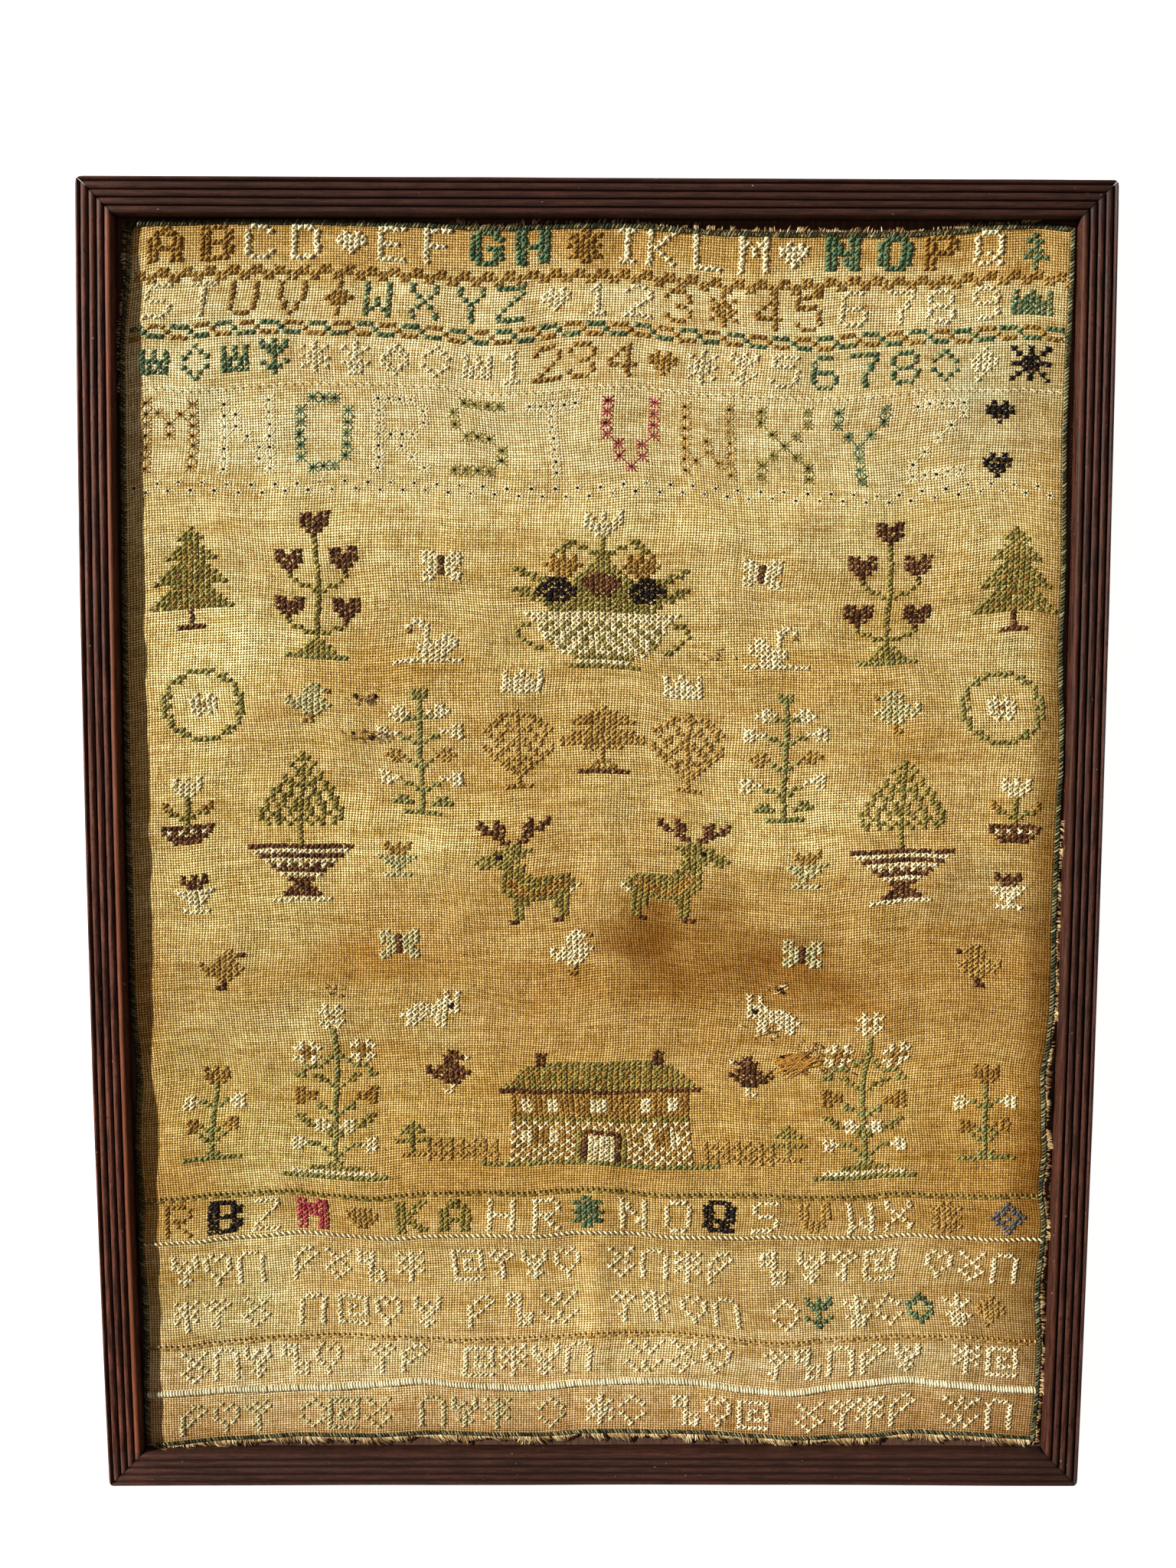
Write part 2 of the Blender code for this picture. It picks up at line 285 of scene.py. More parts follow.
def sidePlan(side, along, out):
    # x and y, from the frame's middle, of a place along a side and a distance out
    out = -out if side in ("left", "bottom") else out
    return (out, along) if side in ("left", "right") else (along, out)


def turned(x, y, midX, midY, turn):
    # distances along and across a line through a middle point, turned from +X by degrees
    c, s = math.cos(math.radians(turn)), math.sin(math.radians(turn))
    return (x - midX) * c + (y - midY) * s, (y - midY) * c - (x - midX) * s


def waves(rows, x, y):
    # sum of sine waves, each with its own wavelengths across and up
    return sum(size * np.sin(full * (x / acrossWave + y / upWave) + phase)
               for acrossWave, upWave, phase, size in rows)


def foldHeight(x, y):
    # sum of soft ridges that fall off along and across their lines, with the cockling over them
    total = waves(cockles, x, y)
    for foldX, foldY, turn, reach, spread, rise in folds:
        along, across = turned(x, y, foldX, foldY, turn)
        total = total + rise * np.exp(-(along / reach) ** 2 - (across / spread) ** 2)
    return total


def overCloth(x, y, lift):
    # a point over the cloth, at a place measured from the frame's middle
    z = cloth["rest"] + cloth["top"] + foldHeight(x, y) + lift
    return np.stack([x + middle[0], y + middle[1], z], -1)


def onCloth(u, v, lift=0.0):
    # the cloth's surface: its thread counts stretched between the four uneven edges, wandering in between
    across, up = u / cloth["warps"], v / cloth["wefts"]
    plainX = -wallAt("left", 0) + (wallAt("left", 0) + wallAt("right", 0)) * across
    plainY = -wallAt("bottom", 0) + (wallAt("bottom", 0) + wallAt("top", 0)) * up
    left, right = edgeAt("left", plainY), edgeAt("right", plainY)
    bottom, top = edgeAt("bottom", plainX), edgeAt("top", plainX)
    x = -left + (left + right) * across
    y = -bottom + (bottom + top) * up
    inside = np.clip(16 * across * (1 - across), 0, 1) * np.clip(16 * up * (1 - up), 0, 1)
    x, y = x + inside * waves(wanders["x"], x, y), y + inside * waves(wanders["y"], x, y)
    return overCloth(x, y, lift)


def ringFaces(k):
    # quads from each ring of points to the next one; k holds the points' numbers, ring after ring
    after = np.roll(k, -1, axis=-1)
    quads = [k[..., :-1, :], after[..., :-1, :], after[..., 1:, :], k[..., 1:, :]]
    return np.stack(quads, -1).reshape(-1, 4)


ringCorners = 4


def makeThreads(name, paths, radius, flat, tones, finish, slot):
    # each thread is a ring, wide by flat, carried along its path and closed at both ends, with its own tone
    count, steps, _ = paths.shape
    ahead = np.gradient(paths, axis=1)
    ahead /= np.linalg.norm(ahead, axis=2, keepdims=True) + 1e-9
    side = np.cross([0.0, 0.0, 1.0], ahead)
    side /= np.linalg.norm(side, axis=2, keepdims=True) + 1e-9
    over = np.cross(ahead, side)
    turn = np.arange(ringCorners) * full / ringCorners
    size = np.broadcast_to(radius, (count, steps))[:, :, None, None]
    rings = paths[:, :, None, :] + size * (flat * np.cos(turn)[:, None] * side[:, :, None, :]
                                           + np.sin(turn)[:, None] * over[:, :, None, :] / flat)
    k = np.arange(count * steps * ringCorners).reshape(count, steps, ringCorners)
    ends = np.concatenate([k[:, 0, ::-1], k[:, -1]])
    return makePiece(name, rings.reshape(-1, 3), [ringFaces(k), ends], finish, slot,
                     tone=np.repeat(tones, steps * ringCorners))


print("frame and tables read")

# the linen's colour from its top edge down: y, then the tone of its thread crowns
linenTones = (
    (206, 222, 188, 118), (197, 226, 194, 124), (192, 230, 202, 134), (187, 246, 232, 176),
    (160, 241, 226, 173), (130, 241, 228, 174), (110, 244, 226, 162), (60, 238, 214, 146),
    (10, 236, 210, 142), (-18, 232, 202, 132), (-40, 224, 190, 120), (-62, 222, 187, 117),
    (-78, 232, 199, 124), (-100, 230, 198, 124), (-122, 224, 191, 120), (-135, 234, 208, 144),
    (-160, 236, 212, 150), (-175, 242, 222, 168), (-187, 234, 206, 152), (-200, 220, 188, 136),
    (-206, 204, 170, 118),
)

# half width of the threads from the bottom edge up: y, share of their pitch
tightness = ((-200, 0.32), (-135, 0.32), (-110, 0.295), (90, 0.295), (112, 0.335), (185, 0.335),
             (200, 0.3))

# stains, and painted shade along the right edge: middle x and y, half width and height, turn, percentages
# of red, green and blue left there
stainsAndEdgeShade = (
    (42, -32, 36, 15, -12, 66, 53, 40), (14, -27, 13, 10, 0, 62, 48, 34), (74, -45, 26, 9, -20, 84, 74, 62),
    (52, -12, 34, 7, 6, 90, 85, 78), (20, -45, 30, 8, -4, 86, 78, 66), (-71, 62, 26, 8, 4, 90, 81, 64),
    (-93, -41, 28, 9, 8, 90, 80, 66), (-60, -36, 30, 7, -6, 94, 87, 76), (70, 60, 32, 9, -8, 96, 90, 80),
    (-30, 22, 34, 10, 10, 96, 90, 80), (40, 118, 20, 10, 0, 97, 93, 85),
    (-142, -148, 22, 7, -10, 82, 74, 62), (-120, -166, 30, 5, 4, 88, 82, 74),
    (136, -110, 26, 36, 0, 86, 76, 64), (-140, -110, 20, 50, 0, 91, 84, 74),
    (120, -196, 40, 9, 3, 86, 80, 72), (60, -192, 26, 8, 0, 92, 86, 80), (-60, -84, 40, 14, 4, 94, 88, 80),
    # painted shade: the first two rows darken the right edge, where the cloth turns down away from the
    # light
    (153, 0, 7, 110, 0, 50, 42, 34), (150, -110, 9, 60, 0, 62, 54, 44), (142, -170, 18, 38, 0, 72, 66, 62),
    (140, -180, 34, 26, 0, 90, 88, 88), (84, -150, 44, 36, 0, 87, 86, 86), (0, -132, 50, 8, 0, 88, 86, 84),
    (128, 140, 18, 10, 0, 85, 84, 82), (-128, 66, 24, 22, 0, 126, 140, 155),
    (-124, 150, 26, 22, 0, 104, 110, 116), (-126, 0, 26, 34, 0, 113, 128, 142),
    (-118, -72, 34, 40, 0, 108, 128, 152), (-60, -84, 30, 16, 0, 106, 116, 126),
    (-68, -52, 34, 14, 0, 102, 114, 124), (-124, -150, 26, 40, 0, 103, 118, 132),
    (-66, 8, 34, 14, 0, 124, 136, 146), (66, 12, 32, 14, 0, 122, 132, 146),
    (124, 66, 22, 16, 0, 106, 114, 126), (132, 160, 18, 14, 0, 84, 90, 94),
    (126, -14, 18, 14, 0, 88, 92, 100), (84, 102, 22, 12, 0, 90, 92, 95), (56, 36, 24, 8, 0, 106, 108, 112),
    # painted shade: the first row darkens the right edge, where the cloth turns down away from the light
    (146, 130, 10, 60, 0, 88, 82, 72), (128, -35, 26, 20, 0, 88, 82, 74),
    (8, -152, 12, 22, 0, 107, 107, 105), (-90, 120, 40, 26, 0, 103, 105, 107),
    (-128, 60, 18, 24, 0, 107, 112, 116), (-120, -96, 30, 10, 0, 104, 109, 112),
    (10, -104, 60, 10, 0, 94, 89, 82), (-24, -150, 20, 12, 20, 93, 88, 80),
    (-110, 12, 26, 9, -12, 93, 86, 76),
)


def linenColor(x, y):
    # tone read from the table by height, times each stain or patch of painted shade inside its wavering
    # soft edge, darker at the hem
    rows = np.array(linenTones)[::-1]
    shades = np.array([tone(*row[1:]) for row in linenTones])[::-1]
    wavy = y + 2.5 * np.sin(x / 17) + 1.5 * np.sin(x / 7 + 1)
    color = np.stack([np.interp(wavy, rows[:, 0], shades[:, k]) for k in range(3)], -1)
    for patchX, patchY, halfX, halfY, turn, *kept in stainsAndEdgeShade:
        along, across = turned(x, y, patchX, patchY, turn)
        along, across = along / halfX, across / halfY
        angle = np.arctan2(across, along)
        uneven = 1 + 0.13 * np.sin(3 * angle + patchX) + 0.09 * np.sin(7 * angle + patchY)
        reach = np.hypot(along, across) * uneven
        share = 1 / (1 + np.exp((reach - 1) * 6.5))
        color = color * (1 - share[..., None] * (1 - np.array(kept) / 100))
    edge = np.minimum(np.minimum(edgeAt("left", y) + x, edgeAt("right", y) - x),
                      np.minimum(edgeAt("bottom", x) + y, edgeAt("top", x) - y))
    # darker and yellower towards the cloth's edges
    edgeDarkening = 0.24 * np.exp(-np.maximum(edge, 0) / 4)
    return color * (1 - edgeDarkening[..., None] * np.array([0.8, 1.0, 1.2]))


def linenFinish(name):
    # plain weave worked out from thread counts: round threads, each with its own place, width and tone,
    # going over and under by turns, with dark holes of uneven size left where neither covers; painted shade
    # darkens the threads' sides, a painted highlight pales their crowns, and the holes are coloured as the
    # board seen through them, darkened with painted shade; the third number is the threads' usual half
    # width, as a share of their pitch
    paint = Paint(name, 0.9, Specular_IOR_Level=0.02)
    u, v, tight = paint.attribute("threads").parts()
    warp, weft = u.floor(), v.floor()
    warpNoise = paint.noise(paint.vector(warp * 7.31, v * 0.16), 1.0, 1.0, "Color").parts()
    weftNoise = paint.noise(paint.vector(u * 0.13, weft * 5.77 + 40), 1.0, 1.0, "Color").parts()
    crossing = paint.chance(paint.vector(warp, weft)).parts()
    corner = paint.chance(paint.vector((u + 0.5).floor(), (v + 0.5).floor(), 9.0)).parts()

    def threadRound(count, noise, chance):
        across = count.fraction() - 0.5 - (noise[0] - 0.5) * 0.32
        wide = (noise[1] - 0.5) * 0.36 + tight + (chance - 0.5) * 0.08
        return (1 - across * across / (wide * wide)).most(0).root()

    warpOver = ((v - 0.5) * math.pi).cosine() * (1 - (warp * 0.5).fraction() * 4)
    weftOver = ((u - 0.5) * math.pi).cosine() * ((weft * 0.5).fraction() * 4 - 1)
    warpHigh = threadRound(u, warpNoise, crossing[0]) * (warpOver * 0.6 + 1)
    weftHigh = threadRound(v, weftNoise, crossing[1]) * (weftOver * 0.6 + 1)
    height = warpHigh.most(weftHigh)
    place = paint.place()
    fluff = paint.noise(place, 2600, 2.0)
    px, py, _ = place.parts()
    patch = paint.noise(place, 45, 3.0)
    bands = paint.noise(paint.vector(px * 15, py * 190), 1.0, 3.0)
    soiled = paint.noise(paint.vector(px * 21, py * 260, 5.0), 1.0, 2.0).slope(0.56, 0.76)
    own = paint.attribute("aging", "Color")
    hue = paint.blend(patch.slope(0.36, 0.64), (1.01, 0.995, 0.94), (0.985, 1.01, 0.95))
    own = paint.tint(own, hue)
    streak = ((warpNoise[2] - 0.5) + (weftNoise[2] - 0.5)) * 0.8 + (crossing[2] - 0.5) * 0.3
    share = streak + (fluff - 0.5) * 0.5 + (patch - 0.5) * 0.4 + (bands - 0.5) * 0.9 + 0.5
    light = paint.blend(share.slope(), (0.78, 0.68, 0.45), (1.32, 1.41, 1.52))
    own = paint.blend(soiled * 0.8, own, paint.tint(own, (0.8, 0.66, 0.48)))
    crown = paint.tint(own, light)
    # painted shade: the threads darken from their crowns down into the crevices between them
    paintedCreviceShade = paint.tint(own, (0.37, 0.2, 0.02))
    # painted highlight: the highest parts of the crowns paler and less yellow
    paintedCrownHighlight = paint.tint(crown, (0.97, 1.07, 1.34))
    color = paint.blend(height.slope(0.3, 1.5), paintedCreviceShade, crown)
    color = paint.blend(height.slope(0.9, 1.5), color, paintedCrownHighlight)
    dark = (corner[0] * corner[1]).slope(0.1, 0.6)
    # the holes: coloured as the board seen through them, darkened with painted shade, some darker than
    # others
    holeBoardAndShade = paint.blend(dark, (0.125, 0.045, 0.0008), (0.022, 0.007, 0.0002))
    paint.link(paint.blend(height.slope(0.15, 0.75), holeBoardAndShade, color))
    paint.bump(height + fluff * 0.4, 0.0002, 0.55)
    return paint


def makeCloth():
    # a closed thin sheet: the cloth's surface on a grid, the same a little lower, and a rim between
    columns, rows = cloth["columns"], cloth["rows"]
    u, v = np.linspace(0, cloth["warps"], columns + 1), np.linspace(0, cloth["wefts"], rows + 1)
    u, v = np.meshgrid(u, v)
    top = onCloth(u, v)
    rim = np.minimum(np.minimum(u, cloth["warps"] - u), np.minimum(v, cloth["wefts"] - v))
    top[..., 2] -= 0.25 * np.exp(-rim / 1.5)
    below = top - [0, 0, cloth["thick"]]
    points = np.concatenate([top.reshape(-1, 3), below.reshape(-1, 3)])
    k = np.arange(u.size).reshape(u.shape)
    upper = np.stack([k[:-1, :-1], k[:-1, 1:], k[1:, 1:], k[1:, :-1]], -1).reshape(-1, 4)
    ring = np.concatenate([k[0, :-1], k[:-1, -1], k[-1, :0:-1], k[:0:-1, 0]])
    after = np.roll(ring, -1)
    band = np.stack([ring, ring + k.size, after + k.size, after], -1)
    color = linenColor(top[..., 0] - middle[0], top[..., 1])
    color = np.concatenate([color, np.ones((*u.shape, 1))], -1)
    counts = np.stack([u, v, np.interp(top[..., 1], *np.array(tightness).T)], -1)
    return makePiece("linen_cloth", points, [upper, upper[:, ::-1] + k.size, band],
                     linenFinish("linen weave"), "aged_linen", aging=[color] * 2, threads=[counts] * 2)


linen = makeCloth()
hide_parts("linen_ground")
print("linen woven", len(linen.data.polygons))


def readCharts(text):
    # names and charts by turns; a line that starts with a stroke goes on with the chart before it
    words = text.replace("\n/", "/").split()
    return dict(zip(words[::2], words[1::2]))


# charts: rows from the top, parted by strokes. Letters and ornaments come first: v heart, * star, + cross,
# o diamond, ^ crown, t tulip, ~ lozenge, p potted flower, u open tulip, h open heart, n arch, x trellis,
# e ear of wheat, w waves, k fret, a acorn, l leaf, q links, y sprig.
# Even ones are half charts, mirrored about their last column; short rows are filled up on the left
evenCharts = readCharts("""
A X/X./X../X../XXX/X../X..   H X../X../X../XXX/X../X../X..   I XX/X/X/X/X/X/XX
M X../XX./X.X/X.X/X../X../X..   O XX/X../X../X../X../X../XX   T XXX/X/X/X/X/X/X
U X../X../X../X../X../X../XX   V X../X../X../X../X./X./X   W X../X../X../X.X/X.X/XX./X..
X X../X../X./X/X./X../X..   Y X../X../X./X/X/X/X   8 XX/X../X../XX/X../X../XX   v /X./XXX/XXX/XX/X/
* X/X.X/XX/XXX/XX/X.X/X   + X/X/XX/XXX/XX/X/X   o X/XX/XX./X../XX./XX/X   ^ /X.X/X.X/XXX/XX./XXX/
t X.X/XXX/XX/X/X.X/XX/X   ~ X/X./X..//X../X./X   p X/X.X/XX/X/XXX/XX/XX   u X../X.X/XX./XX/X/XX/X
h X./X.X/X../X../X./X/X   n XX/X../X../X../X../X../X..   x X../X./X/X./X../X./X   e X.X/XX/X.X/XX/X.X/X/X
w X..X/X.X/X.//X..X/X.X/X.
fir o/oo/ooo/oo/oog/oooo/ooogo/ooo/ooog/ooooo/ooogoo/oooooog/oooo/ooogo/oooooo/ooogooo/oooooogo/b/b/b/bbb
heartTree bb./bbb/bbb/bb/b/o/o/bb.bb..o/bbbbb..o/bbbbb..o/bbb...o/b....o/o....o/o...o/oo.o/oo/o/bb.bb..o
/bbbbb..o/bbbbb..o/bbb...o/b....o/o....o/oo..o/ooo/o/oo/ooo/oooo/gggggg
flowerUrn c..c/cc.c/cccc/ccc/cc/o/oo....o/oo.oo..o/oo....ooo/y.y.y...oo/yyyyy...oo/yyyyyyy.ooo
/oo....yyyyy.oooo/ooo...yyy.oobbb/oookkk.oobbbb/okkkkkoobbbb/ooo.kkkkkkkoobbb/oookkkkkkkooobb
/oookkkkoooooo/ooooooooooo/oooooooooo/cccccccccccccc/ccccccccccccc/oo.ccoccoccocco/o...coccoccoccoc
/o....ccoccoccocc/o...coccoccocco/o...occoccocco/oo..coccoccoc/ccoccocc/oooooo/ccccc/ooooooo
cottage bb........../bb........../bboooooooooo/oooooooooooooo/oyoyoyoyoyoyoyo/oooooooooooooooo
/oyoyoyoyoyoyoyoyo/oooooooooooooooooo/bbbbbbbbbbbbbbbbbbb/yyyyyyyyyyyyyyyyy/yyccyyyccyyyyyycc
/yyccyyyccyyyyyycc/yyccyyyccyyyyyycc/yyyyyyyyyyyyyyyyy/ooooooooooooooooo/cycycycycycycycyc
/ycycycycycycycycy/cyccyyyccycyobbbb/ycccyyyccyycobccc/cyccyyyccycyobccc/ycycycycycycobccc
/cycycycycycyobccc/ycycycycycycobccc/cycycycycycyobccc/gggggggggggggggggggggg
roseBush c./ccc/cy/ccc/c./g/g/c.c...g/ccycc..g/yyy...g/ccycc.gg/c.c.g.g/ggg..g/g.....g/gg.oo..g/oo.g/og
/yy.....g/yyyy...g/yyyy...g/yy..g..g/gg.g/gg/oo.....g/oo.cc.g/oocccg/ccog/og/cc.....g/cccgg..g/cc...g.g/gg
/g/gg/ooooo/cccccccc/gggggggggg
tulipPot c.c/ccc/ccc/cc/g/y...g/yy..g/gg.g/gg/g/bbbbb/bcbcb/bbbb/bbb
carnation y.y/yyy/yyy/yy/g/g/cc...g/cccg.g/cc..gg/g/g/yy..g/yyy.g/yy.gg/g.g/gg/g/g/gg/gggggg
crown y..y/y.yy/yyyy/bcbc/yyyy
butterfly cc../cccb/cccb/ccb/cccb/cc..
cypressVase o/oo/o.o/oo/o.oo/oo.o/o.ooo/oo.o.o/o.oo.o/oo.o.oo/o.oo.oo/oo.o.ooo/o.oo.o.o/oo.oo.oo/o.o.o.o/o
/o/o/o/bbbbbbbbbb/ccccccccc/bbbbbbbb/ccccccc/bcbcbc/bbbbb/cccc/bbb/bb/bbb/bbbb/.....cccccc
wreath ogo/go.../og..../g....../o....../go....c./g....ccc/og...ccy/g....ccc/go....c./o....../g......
/og..../go.../ogo
oak t/ttt/ttttt/tttytt/ttt/tttttt/ttyttttt/tttttytt/tttt/t/t/tt/ttt/bbbbb
tinyTree g/gg/ggg/g/gggg/g/g/ttt
bellStem oo/oo/o/cc..o/cccc.o/ccooo/o/cc.....o/cccc...o/cc..oo.o/oo/o/tt...o/tttt..o/tt.o.o/oo/o/cc.....o
/cccc...o/cc..oo.o/oo/o/oo..o/oooo.o/o/oooo
ghostBush t/tttt/tt..t/tt.t.t/tt..ttt/t.t..t/tt.tt/t.t.ttt/tt.tt.t/ttt..t/t.ttt/tt.t/ttt/tt/t/t/ttt
fence t.t.t.t/ttttttt/t.t.t.t/ttttttt/t.t.t.t
smallUrn t.t/ttt/tt/wwww/www/ww/w/www
heart X./XXX/XXX/XX/X
star X..X/X.X/XX/XXXX/XX/X.X/X..X
lozenge X/XX/XX./XX.X/XX./XX/X
littleFir X/XX/X/XX/XXX/X/X
""")

# the others are charted whole; short rows are filled up on the right
wholeCharts = readCharts("""
B XXXX/X...X/X...X/XXXX/X...X/X...X/XXXX   C .XXX/X...X/X/X/X/X...X/.XXX
D XXXX/X...X/X...X/X...X/X...X/X...X/XXXX   E XXXXX/X/X/XXXX/X/X/XXXXX   F XXXXX/X/X/XXXX/X/X/X
G .XXX/X...X/X/X..XX/X...X/X...X/.XXX   K X...X/X..X/X.X/XX/X.X/X..X/X...X   L X/X/X/X/X/X/XXXXX
N X...X/XX..X/XX..X/X.X.X/X..XX/X..XX/X...X   P XXXX/X...X/X...X/XXXX/X/X/X
Q .XXX/X...X/X...X/X...X/X.X.X/X..X/.XX.X   R XXXX/X...X/X...X/XXXX/X.X/X..X/X...X
S .XXXX/X/X/.XXX/....X/....X/XXXX   Z XXXXX/....X/...X/..X/.X/X/XXXXX   1 .X/XX/.X/.X/.X/.X/XXX
2 .XXX/X...X/....X/...X/..X/.X/XXXXX   3 .XXX/X...X/....X/..XX/....X/X...X/.XXX
4 ...X/..XX/.X.X/X..X/XXXXX/...X/...X   5 XXXXX/X/XXXX/....X/....X/X...X/.XXX
6 .XXX/X/X/XXXX/X...X/X...X/.XXX   7 XXXXX/....X/...X/...X/..X/..X/..X
9 .XXX/X...X/X...X/.XXXX/....X/....X/.XXX   a ..X/.XXX/XXXXX/XXXXX/.XXX/..X/.X
k XXXXXX/X....X/X.XX.X/X.X..X/X.XXXX/X/XXXXXX   l ..XX/.X..X/X..X/X.X/XX/X/X
q XXX/X.X/XXX/..X/..XXX/..X.X/..XXX   y .X.X/X.X.X/.X.X/..X/..X/.XX/..X
stag ...b..b.....b..b/...bb.bb...bb.bb/....bbbb...bbbb/......bb...bb/.......bb.bb/........ooo
/......ooooooo/....oookoooo/...oooooooo/....oo.ooooo/........oooo/........ooooo/........oyyooooooooo
/........oyyyoooooyyoo/........ooyyyooyyyyyoc/.........ooyyyyyyyooc/..........oooooooooo
/..........ooo....ooo/..........oo.....ooo/..........oo......oo/..........oo......oo/.........bb......bb
smallBird ....cc/...ccccy.../...ccc/c.ccccc/cccccccc/.cccccc/...ccc/....y/...yy
rabbit .......c.c/.......c.c/......cccc/..cccccckc/.ccccccccc/cccccccc/.ccc..cc/.cc...cc
swan ....ww/...w.ww/...y..w/......w..ww/......w.wwww/.....wwwwwww/.....wwwwww/......wwww/.gggggggggggg
""")
wholeCharts[" "] = "..."

chart = np.full((258, 166), ".")


def motif(name):
    # a chart's rows, filled up to one width, the even ones with their mirrored half
    even = name in evenCharts
    rows = (evenCharts if even else wholeCharts)[name].split("/")
    width = max(len(row) for row in rows)
    if even:
        rows = [row.rjust(width, ".") for row in rows]
        return [row + row[-2::-1] for row in rows]
    return [row.ljust(width, ".") for row in rows]


def sew(rows, column, row, change, flip=False):
    # puts a chart's stitches on the cloth's chart, its middle at a column and its top at a row
    left = int(round(column - len(rows[0]) / 2))
    for k, line in enumerate(rows):
        line = line[::-1] if flip else line
        for j, key in enumerate(line):
            if key != "." and 0 <= left + j < chart.shape[1] and 0 <= row + k < chart.shape[0]:
                chart[row + k, left + j] = change.get(key, key)


def sewRow(text, keys, row, left, right, heavy=""):
    # letters and ornaments spread evenly from left to right; those in a heavy colour have strokes two wide
    keys = keys * len(text) if len(keys) == 1 else keys
    charts = [motif(mark) for mark in text]
    for k, rows in enumerate(charts):
        if keys[k] in heavy:
            charts[k] = ["".join(max(pair) for pair in zip("." + line, line + ".")) for line in rows]
    gap = (right - left - sum(len(rows[0]) for rows in charts)) / (len(text) - 1)
    at = float(left)
    for rows, key in zip(charts, keys):
        sew(rows, at + len(rows[0]) / 2, row, {"X": key})
        at += len(rows[0]) + gap


def sewRepeat(rows, top):
    # a border pattern repeated right across
    for k, line in enumerate(rows):
        for column in range(1, 164):
            if line[column % len(line)] != ".":
                chart[top + k, column] = line[column % len(line)]


sewRow("ABCDvEFGH*IKLMvNOPQ", "TTCCCCCGGTCCCCCGGTC", 1, 3, 152, "GT")
sewRepeat([".yy.", "tyyt", "y..t"], 9)
sewRow("STUV+WXYZv123*456789", "ccyyyggggcccyyyycccc", 12, 3, 152)
sewRepeat(["ggg.yyy.", "...g...y", "yyy.ggg."], 20)
sewRow("^~^t*po~^1234v*t5678~a", "ggggccccccyyyycccggggc", 24, 3, 152)
sewRow("RBZMvKAHR*NOQSVWX*", "ykcrtooccgcckctcct", 203, 4, 149, "krogt")
sewRow("uhn lxqe kyuh xnel quyk hxn", "c", 214, 5, 160)
sewRow("eyx nkhu lqw yehn ~tp~opa", "cccccccccccccccccccgccgct", 224, 5, 158)
sewRow("xnuqh yl keun wxh yqnlu ek", "c", 235, 6, 160)
sewRow("lhy ~kx nue ~ *~ qhk xyel wn", "wwwwwwwwwwwwwwcccccccccccccc", 247, 6, 160)

# motifs: middle column, top row, pairs of an old and a new colour, and 2 where a mirror image goes with it
layout = (
    ("littleFir", 157.5, 2, "Xg", 1), ("crown", 157.5, 13, "ygbgcg", 1), ("star", 157.5, 24, "Xk", 1),
    ("heart", 152.5, 35, "Xk", 1), ("heart", 152.5, 46, "Xk", 1), ("lozenge", 157.5, 203, "Xs", 1),
    ("fir", 11, 61, "gy", 2), ("heartTree", 33, 58, "gf", 2), ("butterfly", 56, 66, "", 2),
    ("swan", 53, 80, "wcgc", 2), ("flowerUrn", 83.5, 57, "", 1), ("wreath", 14, 90, "gf", 2),
    ("smallBird", 33, 93, "cw", 2), ("bellStem", 51, 94, "of", 2), ("ghostBush", 68, 98, "", 2),
    ("crown", 69, 90, "bcyc", 2), ("oak", 83.5, 98, "", 1), ("cypressVase", 30, 108, "", 2),
    ("tulipPot", 11, 112, "go", 2), ("smallUrn", 11, 132, "wctb", 2), ("stag", 69, 121, "", 2),
    ("smallUrn", 48, 126, "", 2), ("smallBird", 79, 145, "", 1), ("rabbit", 53, 158, "", 2),
    ("butterfly", 48, 145, "cw", 2), ("smallBird", 18, 148, "ctyb", 2), ("smallBird", 58, 171, "cbyc", 2),
    ("cottage", 83.5, 171, "gf", 1), ("fence", 58, 190, "", 2), ("roseBush", 36, 161, "gf", 2),
    ("carnation", 14, 174, "gf", 2), ("tinyTree", 49, 186, "go", 2),
)
for name, column, row, pairs, count in layout:
    change = dict(zip(pairs[::2], pairs[1::2]))
    sew(motif(name), column, row, change)
    if count == 2:
        sew(motif(name), 167 - column, row, change, flip=True)
print("stitches charted", int((chart != ".").sum()))


# each thread's name, darker tone and lighter tone
threadTones = {
    "g": ("green", (38, 74, 54), (104, 134, 98)),
    "o": ("olive", (86, 82, 36), (158, 148, 78)),
    "y": ("gold", (114, 82, 32), (174, 136, 66)),
    "b": ("purple_brown", (50, 24, 14), (110, 70, 48)),
    "k": ("near_black", (5, 4, 8), (30, 24, 30)),
    "c": ("cream", (202, 194, 154), (238, 230, 192)),
    "r": ("crimson", (124, 26, 44), (190, 82, 92)),
    "t": ("faded_tan", (138, 106, 48), (194, 162, 94)),
    "s": ("slate", (56, 62, 74), (104, 108, 114)),
    "w": ("pale_willow", (164, 162, 116), (208, 206, 162)),
    "f": ("faded_green", (92, 98, 50), (154, 156, 96)),
    "h": ("hem", (36, 52, 38), (158, 160, 122)),
    "e": ("pale_band", (198, 192, 156), (236, 230, 196)),
    "d": ("ochre", (112, 70, 22), (202, 152, 72)),
}
shaker = np.random.default_rng(11)
normal, uniform = shaker.normal, shaker.uniform
laid = {key: [] for key in threadTones if key not in "hd"}


def threadAt(row):
    # the count of wefts, from the bottom edge, at the top of a charted row
    return cloth["wefts"] - cloth["stitch"] * row


def lay(key, start, end, radius, lift):
    # one row of numbers for each strand: thread counts of both ends, half width, height over the cloth
    count = len(start)
    radius, lift = np.broadcast_to(radius, count), np.broadcast_to(lift, count)
    laid[key].append(np.column_stack([start, end, radius, lift]))


cross = {
    "wide": {"b": 0.27, "k": 0.29},     # half width of a strand where it isn't the usual
    "usual": 0.25,
    "plump": 1.35,                      # the strands of heavy letters, times the others
    "uneven": 0.17,
    "lean": 0.18,
}


